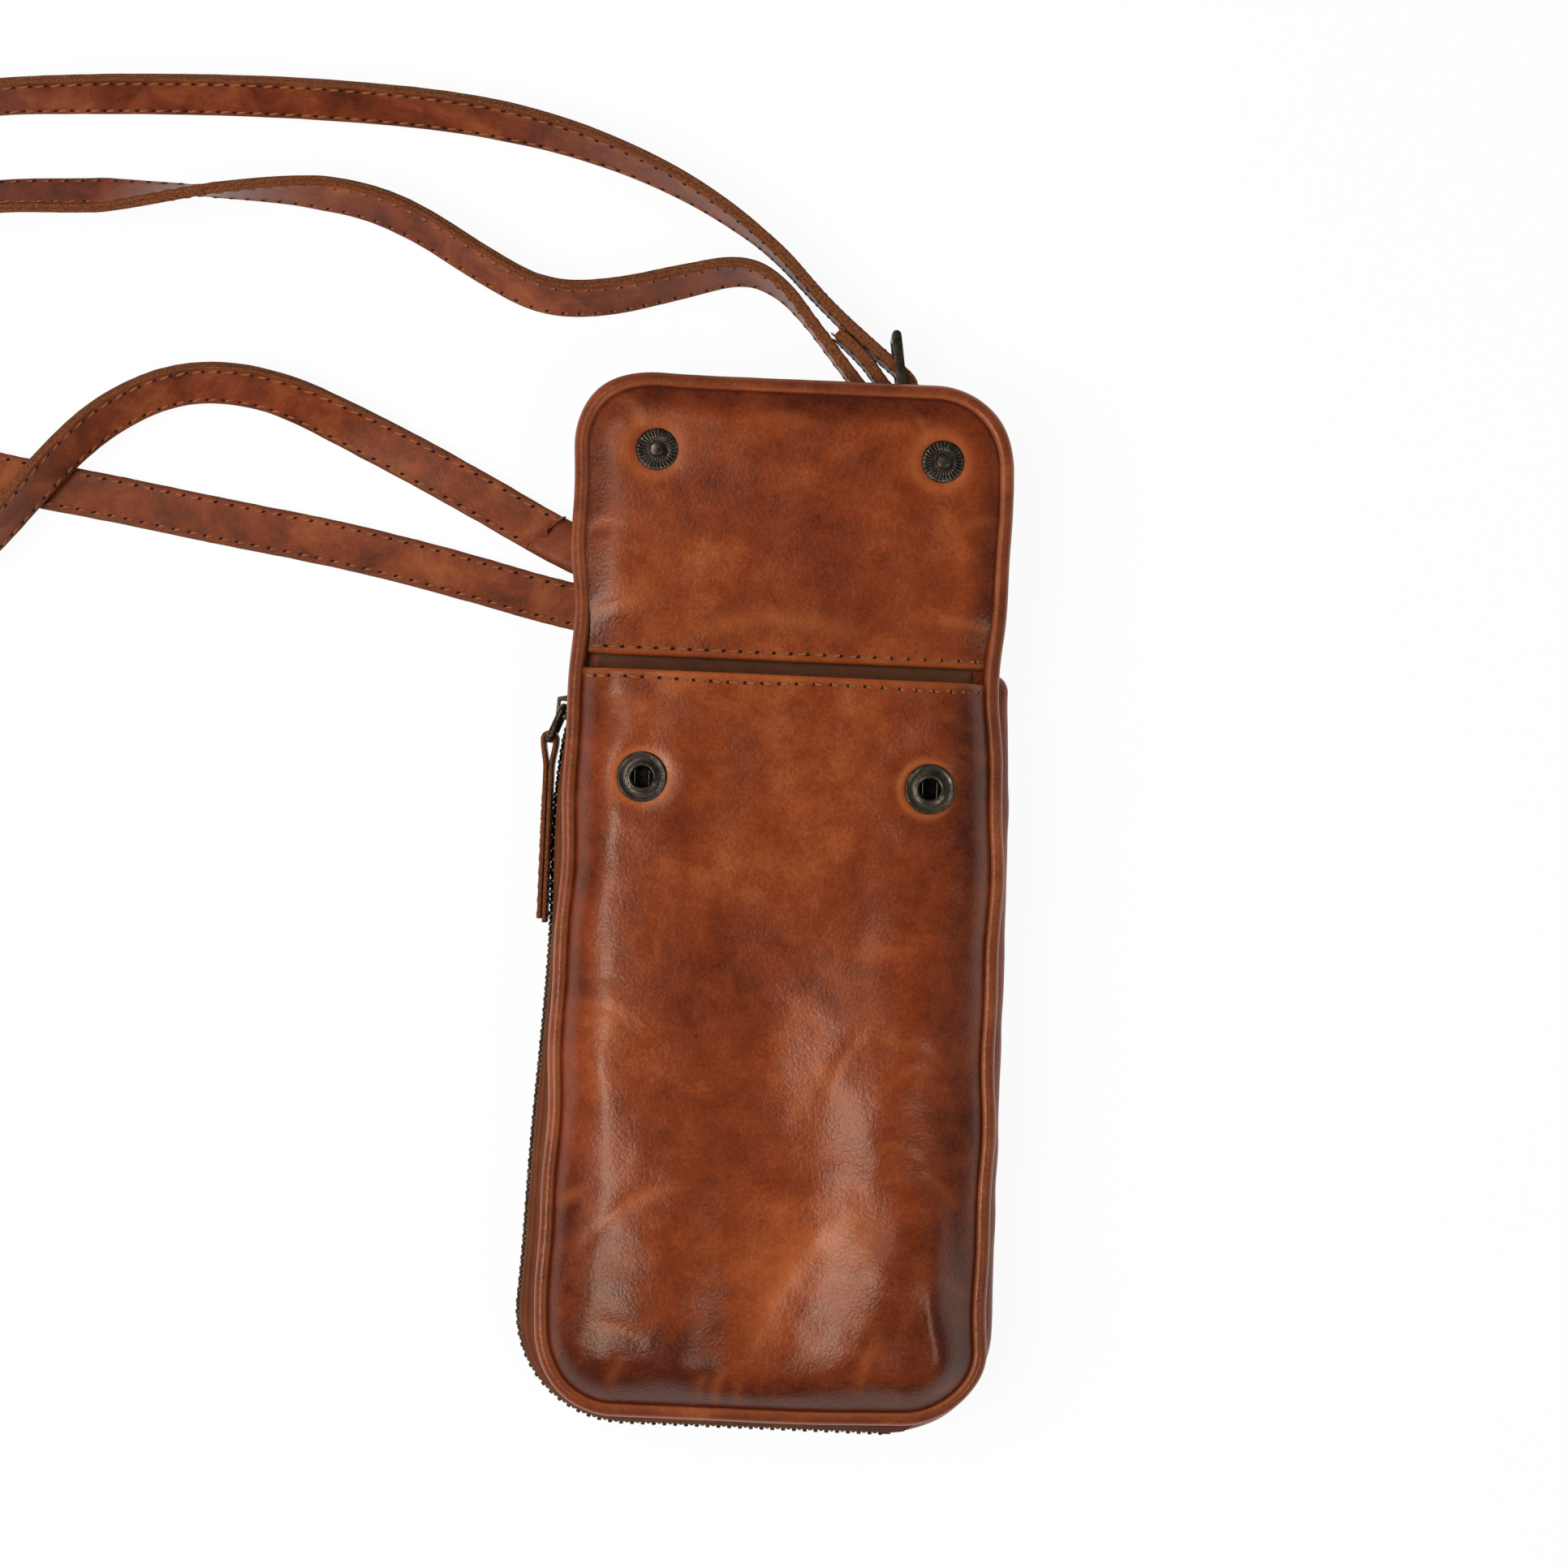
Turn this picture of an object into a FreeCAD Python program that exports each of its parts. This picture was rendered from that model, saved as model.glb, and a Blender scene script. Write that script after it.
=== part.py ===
import FreeCAD, Part
import math
import os
from FreeCAD import Vector

# A leather phone pouch that lies on its back with its flap open.
# Millimetres. X runs across the pouch, Y towards the tip of the flap, Z up from the table.

# Leather, linings and general clearances
leather = 1.6
back_leather = 1.8
gusset_leather = 1.4
facing_leather = 1.2
lining = 0.6
seam_gap = 0.1
overrun = 30.0

# Flat faces that stand in for curves: to a corner, a half turn of leather, a turned part and a wire
pouch_faces = 5
rear_faces = 12
fold_faces = 8
turned_faces = 20
wire_faces = 8

# Outline outside the piping, pouch and open flap together
low_half_width = 61.0
top_half_width = 58.0
bottom_reach = 139.0
flap_reach = 139.0
corner_radius = 22.0
rear_top_reach = 63.0
mouth_drop = 3.0
mouth_y = rear_top_reach - mouth_drop
fold_run = 4.0
fold_start_y = mouth_y + fold_run
fold_length = 22.0
fold_end_y = fold_start_y + fold_length
panel_inset = 2.2

# Front pocket
crown_run = 9.5
pocket_depth = 12.4
crown_shares = ((0.0, 0.0), (0.12, 0.48), (0.45, 0.86), (1.0, 1.0))
hem_width = 8.0
hem_leather = 0.9
lining_play = 0.4

# Flap padding and facing
pad_run = 9.0
pad_rise = 4.8
pad_shares = ((0.0, 0.0), (0.22, 0.56), (1.0, 1.0))
pad_corner = 6.0
fold_leather = 1.8

# Piping
piping_diameter = 4.5
piping_leather = 0.9

# Rear compartment
rear_depth = 17.0
rear_margin = 2.5
rear_bottom_reach = bottom_reach + rear_margin
left_low_margin = 7.3
left_high_drop = 2.1
right_low_margin = 1.5
right_high_margin = 3.0
rear_left_low = low_half_width + left_low_margin
rear_left_high = top_half_width - left_high_drop
rear_right_low = low_half_width + right_low_margin
rear_right_high = top_half_width + right_high_margin
rear_left_radius = 30.0
rear_right_radius = 28.0
rear_top_radius = 5.0
rear_rim_inset = 3.0
seam_inset = 1.0
lining_inset = 4.0

# Zip
tape = 0.8
chain_z = 9.4
chain_band = 5.0
tape_edge = 0.9
tape_play = 0.05
tooth_pitch = 2.9
tooth_width = 1.2
tooth_thickness = 2.8
tooth_tip_length = 0.8
tooth_clamp = 2.0
zip_end_x = 38.0
zip_corner_x = -30.0
zip_corner_rise = 41.5
zip_corner_y = zip_corner_rise - rear_bottom_reach
zip_top_margin = 3.0
zip_top_y = rear_top_reach - zip_top_margin
stop_length = 2.2
stop_lip = 0.5

# Zip slider, pull ring and puller
slider_drop = 11.0
slider_y = zip_top_y - slider_drop
slider_length = 14.0
slider_plate = 1.1
slider_head_half = 4.6
slider_tail_half = 3.9
slider_play = 0.3
slider_slot_half = 0.7
flange_play = 0.35
diamond_length = 3.4
diamond_half = 0.75
bridge_length = 7.0
bridge_height = 3.4
bridge_wall = 0.9
bridge_width = 3.2
pull_wire = 2.0
pull_inner_width = 11.0
pull_length = 9.4
pull_corner = 1.4
puller_run = 8.0
puller_x = -rear_left_high - puller_run
puller_leather = 1.3
puller_play = 0.05
puller_width = 10.0
puller_tip_y = -9.0
puller_neck = 14.0
puller_eye = 9.0

# Press snaps
snap_margin = 20.0
snap_spread = top_half_width - snap_margin
fold_axis_y = fold_start_y + fold_length / 2
stud_share = 0.6132
stud_y = fold_end_y + (flap_reach - fold_end_y) * stud_share
socket_y = 2 * fold_axis_y - stud_y
socket_flange_diameter = 13.3
socket_flange = 1.0
socket_rim = 0.5
socket_hole = 5.8
socket_barrel = 8.4
socket_cavity = 7.0
socket_lip = 0.8
socket_depth = 4.5
spring_wire = 0.6
spring_gap = 5.3
spring_length = 3.6
plate_diameter = 12.0
plate_thickness = 0.7
stud_flange_diameter = 11.4
stud_flange = 0.8
stud_head = 4.4
stud_neck = 3.6
stud_height = 3.0
stud_lead = 0.7
post_diameter = 3.0
cap_diameter = 12.5
cap_height = 1.2
cap_rim = 0.4
snap_play = 0.2
hole_play = 0.1

# Strap rings and their tabs
ring_x = 42.0
ring_wire = 2.5
ring_inner_width = 14.0
ring_inner_length = 14.6
ring_corner = 2.0
ring_z = 11.5
ring_bar_run = 6.5
ring_bar_y = rear_top_reach + ring_bar_run
tab_leather = 1.5
tab_width = 12.4
tab_play = 0.1

# Strap: width, thickness and the share of a run that a bend takes up at each end
strap_width = 12.6
strap_thickness = 3.0
bend_share = 0.45
bend_step_degrees = 24.0
lean_step_degrees = 16.0

# Slide adjuster
adjuster_x = 26.4
adjuster_run = 69.9
adjuster_y = ring_bar_y + adjuster_run
adjuster_heading_degrees = 98.6
adjuster_half_length = 13.4
adjuster_bar = 2.6
adjuster_rail = 1.6
adjuster_floor = 0.3
adjuster_clearance = 0.2

# Route of the strap, from its sewn end at the adjuster to its sewn end at the left ring.
# Each row holds X, Y from the rings' bars, the height of the lower edge above the table, and the
# lean in degrees:
# 0 lies flat, 90 stands on edge, and a positive lean raises the edge on the left of the way.
strap_route = (
    ("strap_sewn_end", (
        (8.5, 82.9, 1.2, 90), (15.6, 76.4, 1.9, 90), (21.0, 70.7, 2.1, 90),
        (26.19, 65.3, 2.1, 90), (31.0, 70.11, 2.1, 90), (21.8, 79.3, 2.1, 90),
        (6.0, 91.1, 0.8, 90))),
    ("strap_upper_run", (
        (-11.7, 108.9, 0.1, -85), (-42.2, 126.7, 0.1, -70), (-83.2, 138.7, 0.1, -52),
        (-137.0, 141.7, 0.1, -50), (-190.0, 140.5, 0.1, -52))),
    ("strap_outer_turn", (
        (-236.0, 137.0, 0.1, -65), (-270.0, 120.5, 0.1, -82), (-289.0, 88.5, 0.1, -90),
        (-290.0, 50.5, 0.1, -90), (-274.0, 17.5, 0.1, 90), (-247.0, 2.5, 0.8, 80),
        (-225.0, 10.0, 2.4, 68))),
    ("strap_spliced_run", (
        (-212.5, 24.5, 4.4, 60), (-199.5, 41.5, 4.4, 55), (-186.0, 55.0, 1.0, 48),
        (-167.0, 63.9, 0.1, 45), (-144.0, 62.9, 0.1, 40), (-118.5, 51.9, 0.1, 20),
        (-89.0, 37.7, 0.1, 5), (-62.0, 23.3, 1.6, 0))),
    ("strap_right_loop", (
        (-45.0, 17.1, 3.5, 0), (-27.0, 13.1, 3.4, 0), (-5.0, 10.9, 3.6, 0),
        (12.0, 9.7, 5.4, 0), (21.0, 9.4, 9.6, 0), (29.0, 9.35, 13.2, 0),
        (36.7, 9.35, 13.2, 0), (36.7, 9.35, 6.8, 0), (29.0, 9.35, 6.8, 0),
        (20.0, 8.3, 4.4, 0), (6.0, 5.9, 1.0, 0), (-10.0, 4.1, 0.1, 0),
        (-34.0, 3.7, 0.1, 0))),
    ("strap_straight_run", (
        (-61.6, 7.3, 0.1, 0), (-91.1, 14.7, 0.1, 0), (-122.5, 21.3, 0.1, 0),
        (-154.0, 25.9, 0.1, 0), (-185.0, 31.1, 0.1, 0), (-212.0, 34.9, 0.2, 4))),
    ("strap_inner_turn", (
        (-234.0, 39.0, 0.5, 25), (-254.0, 50.5, 0.4, 65), (-262.0, 72.5, 0.3, 90),
        (-255.0, 95.5, 0.1, -75), (-238.0, 108.0, 0.1, -55), (-219.3, 111.7, 0.1, -47))),
    ("strap_lower_run", (
        (-192.0, 112.5, 0.5, -45), (-160.0, 115.6, 0.5, -88), (-131.2, 116.5, 0.3, 62),
        (-110.0, 111.5, 0.1, 55), (-86.2, 97.3, 0.1, 55), (-71.0, 90.1, 0.1, 55),
        (-54.0, 90.7, 0.1, 57), (-34.0, 96.1, 0.1, 62), (-17.5, 100.5, 0.1, 70),
        (-7.0, 95.9, 0.1, 82), (1.5, 86.5, 0.6, 90), (11.0, 74.5, 1.7, 90))),
    ("strap_left_end", (
        (18.2, 66.1, 2.1, 90), (29.5, 59.7, 2.1, 90), (40.0, 51.0, 1.8, 90),
        (43.0, 38.0, 1.6, 84), (35.5, 27.5, 2.6, 70), (21.5, 22.0, 5.0, 48),
        (5.5, 17.3, 8.2, 22), (-10.0, 11.3, 10.9, 6), (-24.0, 9.35, 13.2, 0),
        (-36.7, 9.35, 13.2, 0), (-36.7, 9.35, 6.8, 0), (-29.0, 9.35, 6.8, 0),
        (-17.0, 9.5, 7.3, 0))),
)

# Heights that follow from the sizes above
pocket_base = rear_depth + leather
panel_top = pocket_base + pocket_depth
facing_top = pocket_base + pad_rise
socket_top = panel_top + socket_flange
fold_axis_z = (socket_top + snap_play + stud_flange + facing_top) / 2
piping_z = pocket_base + piping_diameter / 2
inner_rim = piping_diameter + seam_gap


def half_width_at(y):
    share = (y + bottom_reach) / (flap_reach + bottom_reach)
    return low_half_width + (top_half_width - low_half_width) * share


def four_sided(left_low, right_low, left_high, right_high, low_y, high_y, radii, faces):
    """An outline as corners (x, y, radius, faces), anticlockwise from the lower left."""
    places = ((-left_low, low_y), (right_low, low_y), (right_high, high_y), (-left_high, high_y))
    return [(x, y, radius, faces) for (x, y), radius in zip(places, radii)]


def inset(outline, distance):
    """The outline drawn in by a distance, its corner radii with it."""
    lines = []
    count = len(outline)
    for index in range(count):
        start = Vector(outline[index][0], outline[index][1], 0)
        end = Vector(outline[(index + 1) % count][0], outline[(index + 1) % count][1], 0)
        along = (end - start).normalize()
        lines.append((start + Vector(-along.y, along.x, 0) * distance, along))
    corners = []
    for index in range(count):
        (p, u), (q, v) = lines[index - 1], lines[index]
        gap = q - p
        reach = (gap.x * v.y - gap.y * v.x) / (u.x * v.y - u.y * v.x)
        spot = p + u * reach
        radius = max(outline[index][2] - distance, seam_gap)
        corners.append((spot.x, spot.y, radius, outline[index][3]))
    return corners


def outline_points(outline, z):
    """The outline's points at a height, corner by corner from the lower left."""
    count = len(outline)
    spots = [Vector(x, y, z) for x, y, _, _ in outline]
    points = []
    for index in range(count):
        here = spots[index]
        _, _, radius, faces = outline[index]
        back = (spots[index - 1] - here).normalize()
        ahead = (spots[(index + 1) % count] - here).normalize()
        half_angle = back.getAngle(ahead) / 2
        centre = here + (back + ahead).normalize() * (radius / math.sin(half_angle))
        first = here + back * (radius / math.tan(half_angle)) - centre
        turn = math.pi - 2 * half_angle
        for step in range(faces + 1):
            angle = turn * step / faces
            points.append(centre + first * math.cos(angle) + Vector(-first.y, first.x, 0) * math.sin(angle))
    return points


def face_of(points):
    return Part.Face(Part.makePolygon(points + points[:1]))


def prism(points, direction):
    return face_of(points).extrude(direction)


def slab(outline, z, height):
    return prism(outline_points(outline, z), Vector(0, 0, height))


def pillow(outline, z, run, rise, shares):
    rings = [outline_points(inset(outline, run * out), z + rise * up) for out, up in shares]
    return ringed(rings)


def ringed(rings, closed=False):
    """A solid of flat faces between rings of points: closed into a loop, or capped at its ends.

    Faces that twist are split along one diagonal and then the other, so the volume stays true."""
    faces = []
    followers = rings[1:] + rings[:1] if closed else rings[1:]
    for number, (ring, follower) in enumerate(zip(rings, followers)):
        for index in range(len(ring)):
            corners = [ring[index - 1], ring[index], follower[index], follower[index - 1]]
            turn = number % 2
            faces += flat_faces(corners[turn:] + corners[:turn])
    if not closed:
        faces += [face_of(rings[0]), face_of(rings[-1])]
    solid = Part.makeSolid(Part.makeShell(faces))
    if solid.Volume < 0:
        solid.reverse()
    return solid


def flat_faces(corners):
    """One face for four corners in a plane, two for four that are not, and fewer where corners meet."""
    spots = []
    for corner in corners:
        if all((corner - spot).Length > Part.Precision.confusion() for spot in spots):
            spots.append(corner)
    if len(spots) < 3:
        return []
    normal = (spots[1] - spots[0]).cross(spots[2] - spots[0])
    if abs(normal.dot(spots[-1] - spots[0])) <= Part.Precision.confusion() * normal.Length:
        return [face_of(spots)]
    return [face_of(spots[:3]), face_of([spots[0]] + spots[2:])]


def zone(low_y, high_y):
    """A block as wide and tall as the whole pouch, between two places along Y."""
    width = 2 * (rear_left_low + overrun)
    corner = Vector(-width / 2, low_y, -overrun)
    return Part.makeBox(width, high_y - low_y, panel_top + 2 * overrun, corner)


pocket_zone = zone(-rear_bottom_reach - overrun, fold_start_y)
fold_zone = zone(fold_start_y, fold_end_y)
flap_zone = zone(fold_end_y, flap_reach + overrun)

pouch_outline = four_sided(low_half_width, low_half_width, top_half_width, top_half_width,
                           -bottom_reach, flap_reach, [corner_radius] * 4, pouch_faces)
rear_radii = (rear_left_radius, rear_right_radius, rear_top_radius, rear_top_radius)
rear_outline = four_sided(rear_left_low, rear_right_low, rear_left_high, rear_right_high,
                          -rear_bottom_reach, rear_top_reach, rear_radii, rear_faces)
seam_half_width = half_width_at(rear_top_reach)
seam_radii = (corner_radius, corner_radius, rear_top_radius, rear_top_radius)
seam_outline = inset(four_sided(low_half_width, low_half_width, seam_half_width, seam_half_width,
                                -bottom_reach, rear_top_reach, seam_radii, rear_faces), seam_inset)


def turned(profile, x, y):
    """A part turned about an upright axis, from points (radius, z)."""
    rings = []
    for step in range(turned_faces):
        angle = 2 * math.pi * step / turned_faces
        rings.append([Vector(x + radius * math.cos(angle), y + radius * math.sin(angle), z)
                      for radius, z in profile])
    return ringed(rings, True)


def upright(x, y, z, diameter, height):
    radius = diameter / 2
    return turned(((0, z), (radius, z), (radius, z + height), (0, z + height)), x, y)


def round_run(points, side, diameter, closed=False):
    """A round bar along points in one plane, mitred at each. Side is square to that plane."""
    rings = []
    count = len(points)
    for index, spot in enumerate(points):
        before = points[index - 1] if closed or index > 0 else spot * 2 - points[index + 1]
        after = points[(index + 1) % count] if closed or index + 1 < count else spot * 2 - points[index - 1]
        arrive = (spot - before).normalize()
        leave = (after - spot).normalize()
        across = (arrive + leave).normalize().cross(side)
        reach = diameter / 2 / math.cos(arrive.getAngle(leave) / 2)
        ring = []
        for step in range(wire_faces):
            angle = 2 * math.pi * (step + 1 / 2) / wire_faces
            ring.append(spot + across * (reach * math.cos(angle)) + side * (diameter / 2 * math.sin(angle)))
        rings.append(ring)
    return ringed(rings, closed)


def bent_wire(spots, radius, wire):
    """A closed ring of round wire along a rectangle of four spots with rounded corners."""
    points = []
    count = len(spots)
    side = (spots[1] - spots[0]).cross(spots[2] - spots[1]).normalize()
    corner_faces = wire_faces // 2
    for index in range(count):
        here = spots[index]
        back = (spots[index - 1] - here).normalize()
        ahead = (spots[(index + 1) % count] - here).normalize()
        centre = here + (back + ahead) * radius
        for step in range(corner_faces + 1):
            angle = math.pi / 2 * step / corner_faces
            points.append(centre - ahead * (radius * math.cos(angle)) - back * (radius * math.sin(angle)))
    return round_run(points, side, wire, True)


def half_turn(centre, start, side, faces):
    """Points of a half turn about a centre, from an offset, towards side."""
    points = []
    for step in range(faces + 1):
        angle = math.pi * step / faces
        points.append(centre + start * math.cos(angle) + side * (start.Length * math.sin(angle)))
    return points


# Front pocket

panel_outline = inset(pouch_outline, inner_rim)


def pocket_shell(outer, inner, low_y, high_y):
    """A layer of the crowned front, between two depths below its outer skin."""
    skins = [pillow(inset(panel_outline, depth), pocket_base, crown_run, pocket_depth - depth,
                    crown_shares) for depth in (outer, inner)]
    return skins[0].cut(skins[1]).common(zone(low_y, high_y))


def snap_places(y):
    return {"left": (-snap_spread, y), "right": (snap_spread, y)}


def drill(shape, y, diameter):
    for x, place_y in snap_places(y).values():
        shape = shape.cut(upright(x, place_y, -overrun, diameter, panel_top + 2 * overrun))
    return shape


def make_front_pocket():
    low_y = -bottom_reach
    barrel_hole = socket_barrel + 2 * hole_play
    hem_y = mouth_y - hem_width
    panel = drill(pocket_shell(0, leather, low_y, mouth_y), socket_y, barrel_hole)
    hem = pocket_shell(leather, leather + hem_leather, hem_y, mouth_y)
    front_lining = drill(pocket_shell(leather, leather + lining, low_y, hem_y), socket_y, barrel_hole)
    back_outline = inset(panel_outline, leather + hem_leather + lining_play)
    back_lining = slab(back_outline, pocket_base, lining).common(pocket_zone)
    back = slab(inset(pouch_outline, panel_inset), rear_depth, leather).common(pocket_zone)
    return {"front_panel": panel, "mouth_hem": hem, "front_lining": front_lining,
            "back_lining": back_lining, "pocket_back": back}


# Flap


def make_flap():
    stud_hole = post_diameter + 2 * hole_play
    cover = slab(inset(pouch_outline, panel_inset), rear_depth, leather)
    low_y = fold_end_y - inner_rim
    low_half = half_width_at(low_y)
    radii = (pad_corner + inner_rim, pad_corner + inner_rim, corner_radius, corner_radius)
    facing_outline = inset(four_sided(low_half, low_half, top_half_width, top_half_width,
                                      low_y, flap_reach, radii, pouch_faces), inner_rim)
    outer = pillow(facing_outline, pocket_base, pad_run, pad_rise, pad_shares)
    inner = pillow(inset(facing_outline, facing_leather), pocket_base, pad_run,
                   pad_rise - facing_leather, pad_shares)
    return {"flap_cover": drill(cover.common(flap_zone), stud_y, stud_hole),
            "flap_padding": drill(inner, stud_y, stud_hole),
            "flap_facing": drill(outer.cut(inner), stud_y, stud_hole),
            "fold_cover": cover.common(fold_zone),
            "fold_facing": slab(panel_outline, pocket_base, fold_leather).common(fold_zone)}


# Piping, one loop round the pocket and the flap, cut where the flap bends


def make_piping():
    points = outline_points(inset(pouch_outline, piping_diameter / 2), piping_z)
    up = Vector(0, 0, 1)
    whole = round_run(points, up, piping_diameter, True)
    cord = round_run(points, up, piping_diameter - 2 * piping_leather, True)
    skin = whole.cut(cord)
    return {"pocket_piping": skin.common(pocket_zone),
            "pocket_piping_cord": cord.common(pocket_zone),
            "fold_piping": whole.common(fold_zone),
            "flap_piping": skin.common(flap_zone),
            "flap_piping_cord": cord.common(flap_zone)}


# Rear compartment


def rear_wall(thickness):
    """The side wall all round: drawn in at the back, upright along the chain, sewn to the pocket."""
    levels = ((inset(rear_outline, rear_rim_inset), back_leather),
              (rear_outline, chain_z - chain_band),
              (rear_outline, chain_z + chain_band),
              (seam_outline, rear_depth))
    skins = [ringed([outline_points(inset(outline, depth), z) for outline, z in levels])
             for depth in (0, thickness)]
    return skins[0].cut(skins[1])


def zip_zone(low_z, high_z):
    """The L of the wall that the zip takes up: the left side and the bottom."""
    left = -rear_left_low - overrun
    low = -rear_bottom_reach - overrun
    places = ((left, low), (zip_end_x, low), (zip_end_x, zip_corner_y), (zip_corner_x, zip_corner_y),
              (zip_corner_x, zip_top_y), (left, zip_top_y))
    return prism([Vector(x, y, low_z) for x, y in places], Vector(0, 0, high_z - low_z))


def make_rear():
    back_outline = inset(rear_outline, rear_rim_inset)
    sheet_outline = inset(rear_outline, rear_rim_inset + lining_inset)
    front_sheet = inset(seam_outline, lining_inset)
    gusset = rear_wall(gusset_leather).cut(zip_zone(0, rear_depth + overrun))
    tapes = rear_wall(tape)
    return {"back_panel": slab(back_outline, 0, back_leather),
            "gusset": gusset,
            "rear_lining": slab(sheet_outline, back_leather, lining),
            "divider_lining": slab(front_sheet, rear_depth - lining, lining),
            "zip_tape_front": tapes.common(zip_zone(chain_z + tape_edge, rear_depth)),
            "zip_tape_rear": tapes.common(zip_zone(0, chain_z - tape_edge))}


# Zip chain


def chain_edges():
    """The middle line of the tapes from the top of the left side to the end of the bottom run."""
    points = outline_points(inset(rear_outline, tape / 2), chain_z)
    corner = points[:rear_faces + 1]
    top, bottom = points[-1], corner[0]
    start = top + (bottom - top) * ((top.y - slider_y) / (top.y - bottom.y))
    last = Vector(zip_end_x - stop_length, corner[-1].y, chain_z)
    line = [start] + corner + [last]
    return [Part.LineSegment(a, b).toShape() for a, b in zip(line, line[1:])]


def chain_frames():
    """Places along the chain, a half pitch apart, with the heading in degrees."""
    frames = []
    step = tooth_pitch / 2
    travelled = 0.0
    for edge in chain_edges():
        reach = (-travelled) % step
        while reach < edge.Length:
            parameter = edge.getParameterByLength(reach)
            tangent = edge.tangentAt(parameter)
            frames.append((edge.valueAt(parameter), math.degrees(math.atan2(tangent.y, tangent.x))))
            reach += step
        travelled += edge.Length
    return frames


def placed(shape, spot, heading):
    """A piece drawn with X along the chain and Y towards the inside, set at a place on the chain."""
    piece = shape.copy()
    piece.rotate(Vector(0, 0, 0), Vector(0, 0, 1), heading)
    piece.translate(spot)
    return piece


def clip(side, head, length):
    """A metal clip astride the edge of one tape: its head reaches towards the other tape."""
    half = tooth_thickness / 2
    slot = tape / 2 + tape_play
    root = side * tape_edge
    tips = side * (tape_edge + tooth_clamp)
    places = ((-half, head), (half, head), (half, tips), (slot, tips),
              (slot, root), (-slot, root), (-slot, tips), (-half, tips))
    return prism([Vector(-length / 2, y, z) for y, z in places], Vector(length, 0, 0))


def make_chain():
    frames = chain_frames()
    rows = {"zip_teeth_front": [], "zip_teeth_rear": []}
    shapes = {"zip_teeth_front": clip(1, -tooth_tip_length, tooth_width),
              "zip_teeth_rear": clip(-1, tooth_tip_length, tooth_width)}
    for index, (spot, heading) in enumerate(frames[:-2]):
        row = list(rows)[index % 2]
        rows[row].append(placed(shapes[row], spot, heading))
    parts = {name: Part.makeCompound(teeth) for name, teeth in rows.items()}
    parts["zip_stops"] = make_stops(frames)
    print("teeth in each row:", [len(teeth) for teeth in rows.values()])
    return parts


def make_stops(frames):
    """Two stops above the parked slider, one on each tape, and a box stop across the far end."""
    spot, heading = frames[0]
    far_spot, far_heading = frames[-1]
    start = -slider_length / 2 - stop_length / 2 - slider_play
    pieces = []
    for side in (1, -1):
        stop = clip(side, side * (tape_edge - stop_lip), stop_length)
        stop.translate(Vector(start, 0, 0))
        pieces.append(placed(stop, spot, heading))
    box_height = 2 * (tape_edge - tape_play)
    box = Part.makeBox(stop_length, tooth_thickness, box_height,
                       Vector(-stop_length / 2, -tooth_thickness / 2, -box_height / 2))
    pieces.append(placed(box, far_spot, far_heading))
    return Part.makeCompound(pieces)


# Slider, pull ring and puller

plate_low = tooth_thickness / 2 + slider_play
plate_high = plate_low + slider_plate
eye_out = plate_high + (bridge_height - bridge_wall) / 2


def make_slider():
    """Two waisted plates held together by the wedge, with flanges that guide the tapes."""
    half = slider_length / 2
    outline = ((half, -slider_tail_half), (half, slider_tail_half), (0, slider_head_half),
               (-half, slider_head_half), (-half, -slider_head_half), (0, -slider_head_half))
    plates = [prism([Vector(x, y, z) for x, z in outline], Vector(0, slider_plate, 0))
              for y in (plate_low, -plate_high)]
    teeth_half = tape_edge + tooth_clamp + flange_play
    flange_depth = plate_low - slider_slot_half
    flanges = []
    for low_z in (teeth_half, -slider_tail_half):
        for low_y in (slider_slot_half, -plate_low):
            flanges.append(Part.makeBox(half, flange_depth, slider_tail_half - teeth_half,
                                        Vector(0, low_y, low_z)))
    wedge_start = -half + slider_plate
    wedge_mid = wedge_start + diamond_length / 2
    wedge = prism([Vector(wedge_start, -plate_low, 0), Vector(wedge_mid, -plate_low, diamond_half),
                   Vector(wedge_start + diamond_length, -plate_low, 0),
                   Vector(wedge_mid, -plate_low, -diamond_half)], Vector(0, 2 * plate_low, 0))
    body = plates[0].multiFuse(plates[1:] + flanges + [wedge, make_bridge()])
    return body.removeSplitter()


def make_bridge():
    """The arch on the outer plate that the pull ring passes through."""
    half = bridge_length / 2
    top = -plate_high - bridge_height
    hole = half - 2 * bridge_wall
    outer = ((-half, -plate_high), (-half + bridge_wall, top), (half - bridge_wall, top), (half, -plate_high))
    inner = ((-hole, -plate_high), (-hole, top + bridge_wall), (hole, top + bridge_wall), (hole, -plate_high))
    low_z = -bridge_width / 2
    arch = prism([Vector(x, y, low_z) for x, y in outer], Vector(0, 0, bridge_width))
    return arch.cut(prism([Vector(x, y, low_z) for x, y in inner], Vector(0, 0, bridge_width)))


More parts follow.
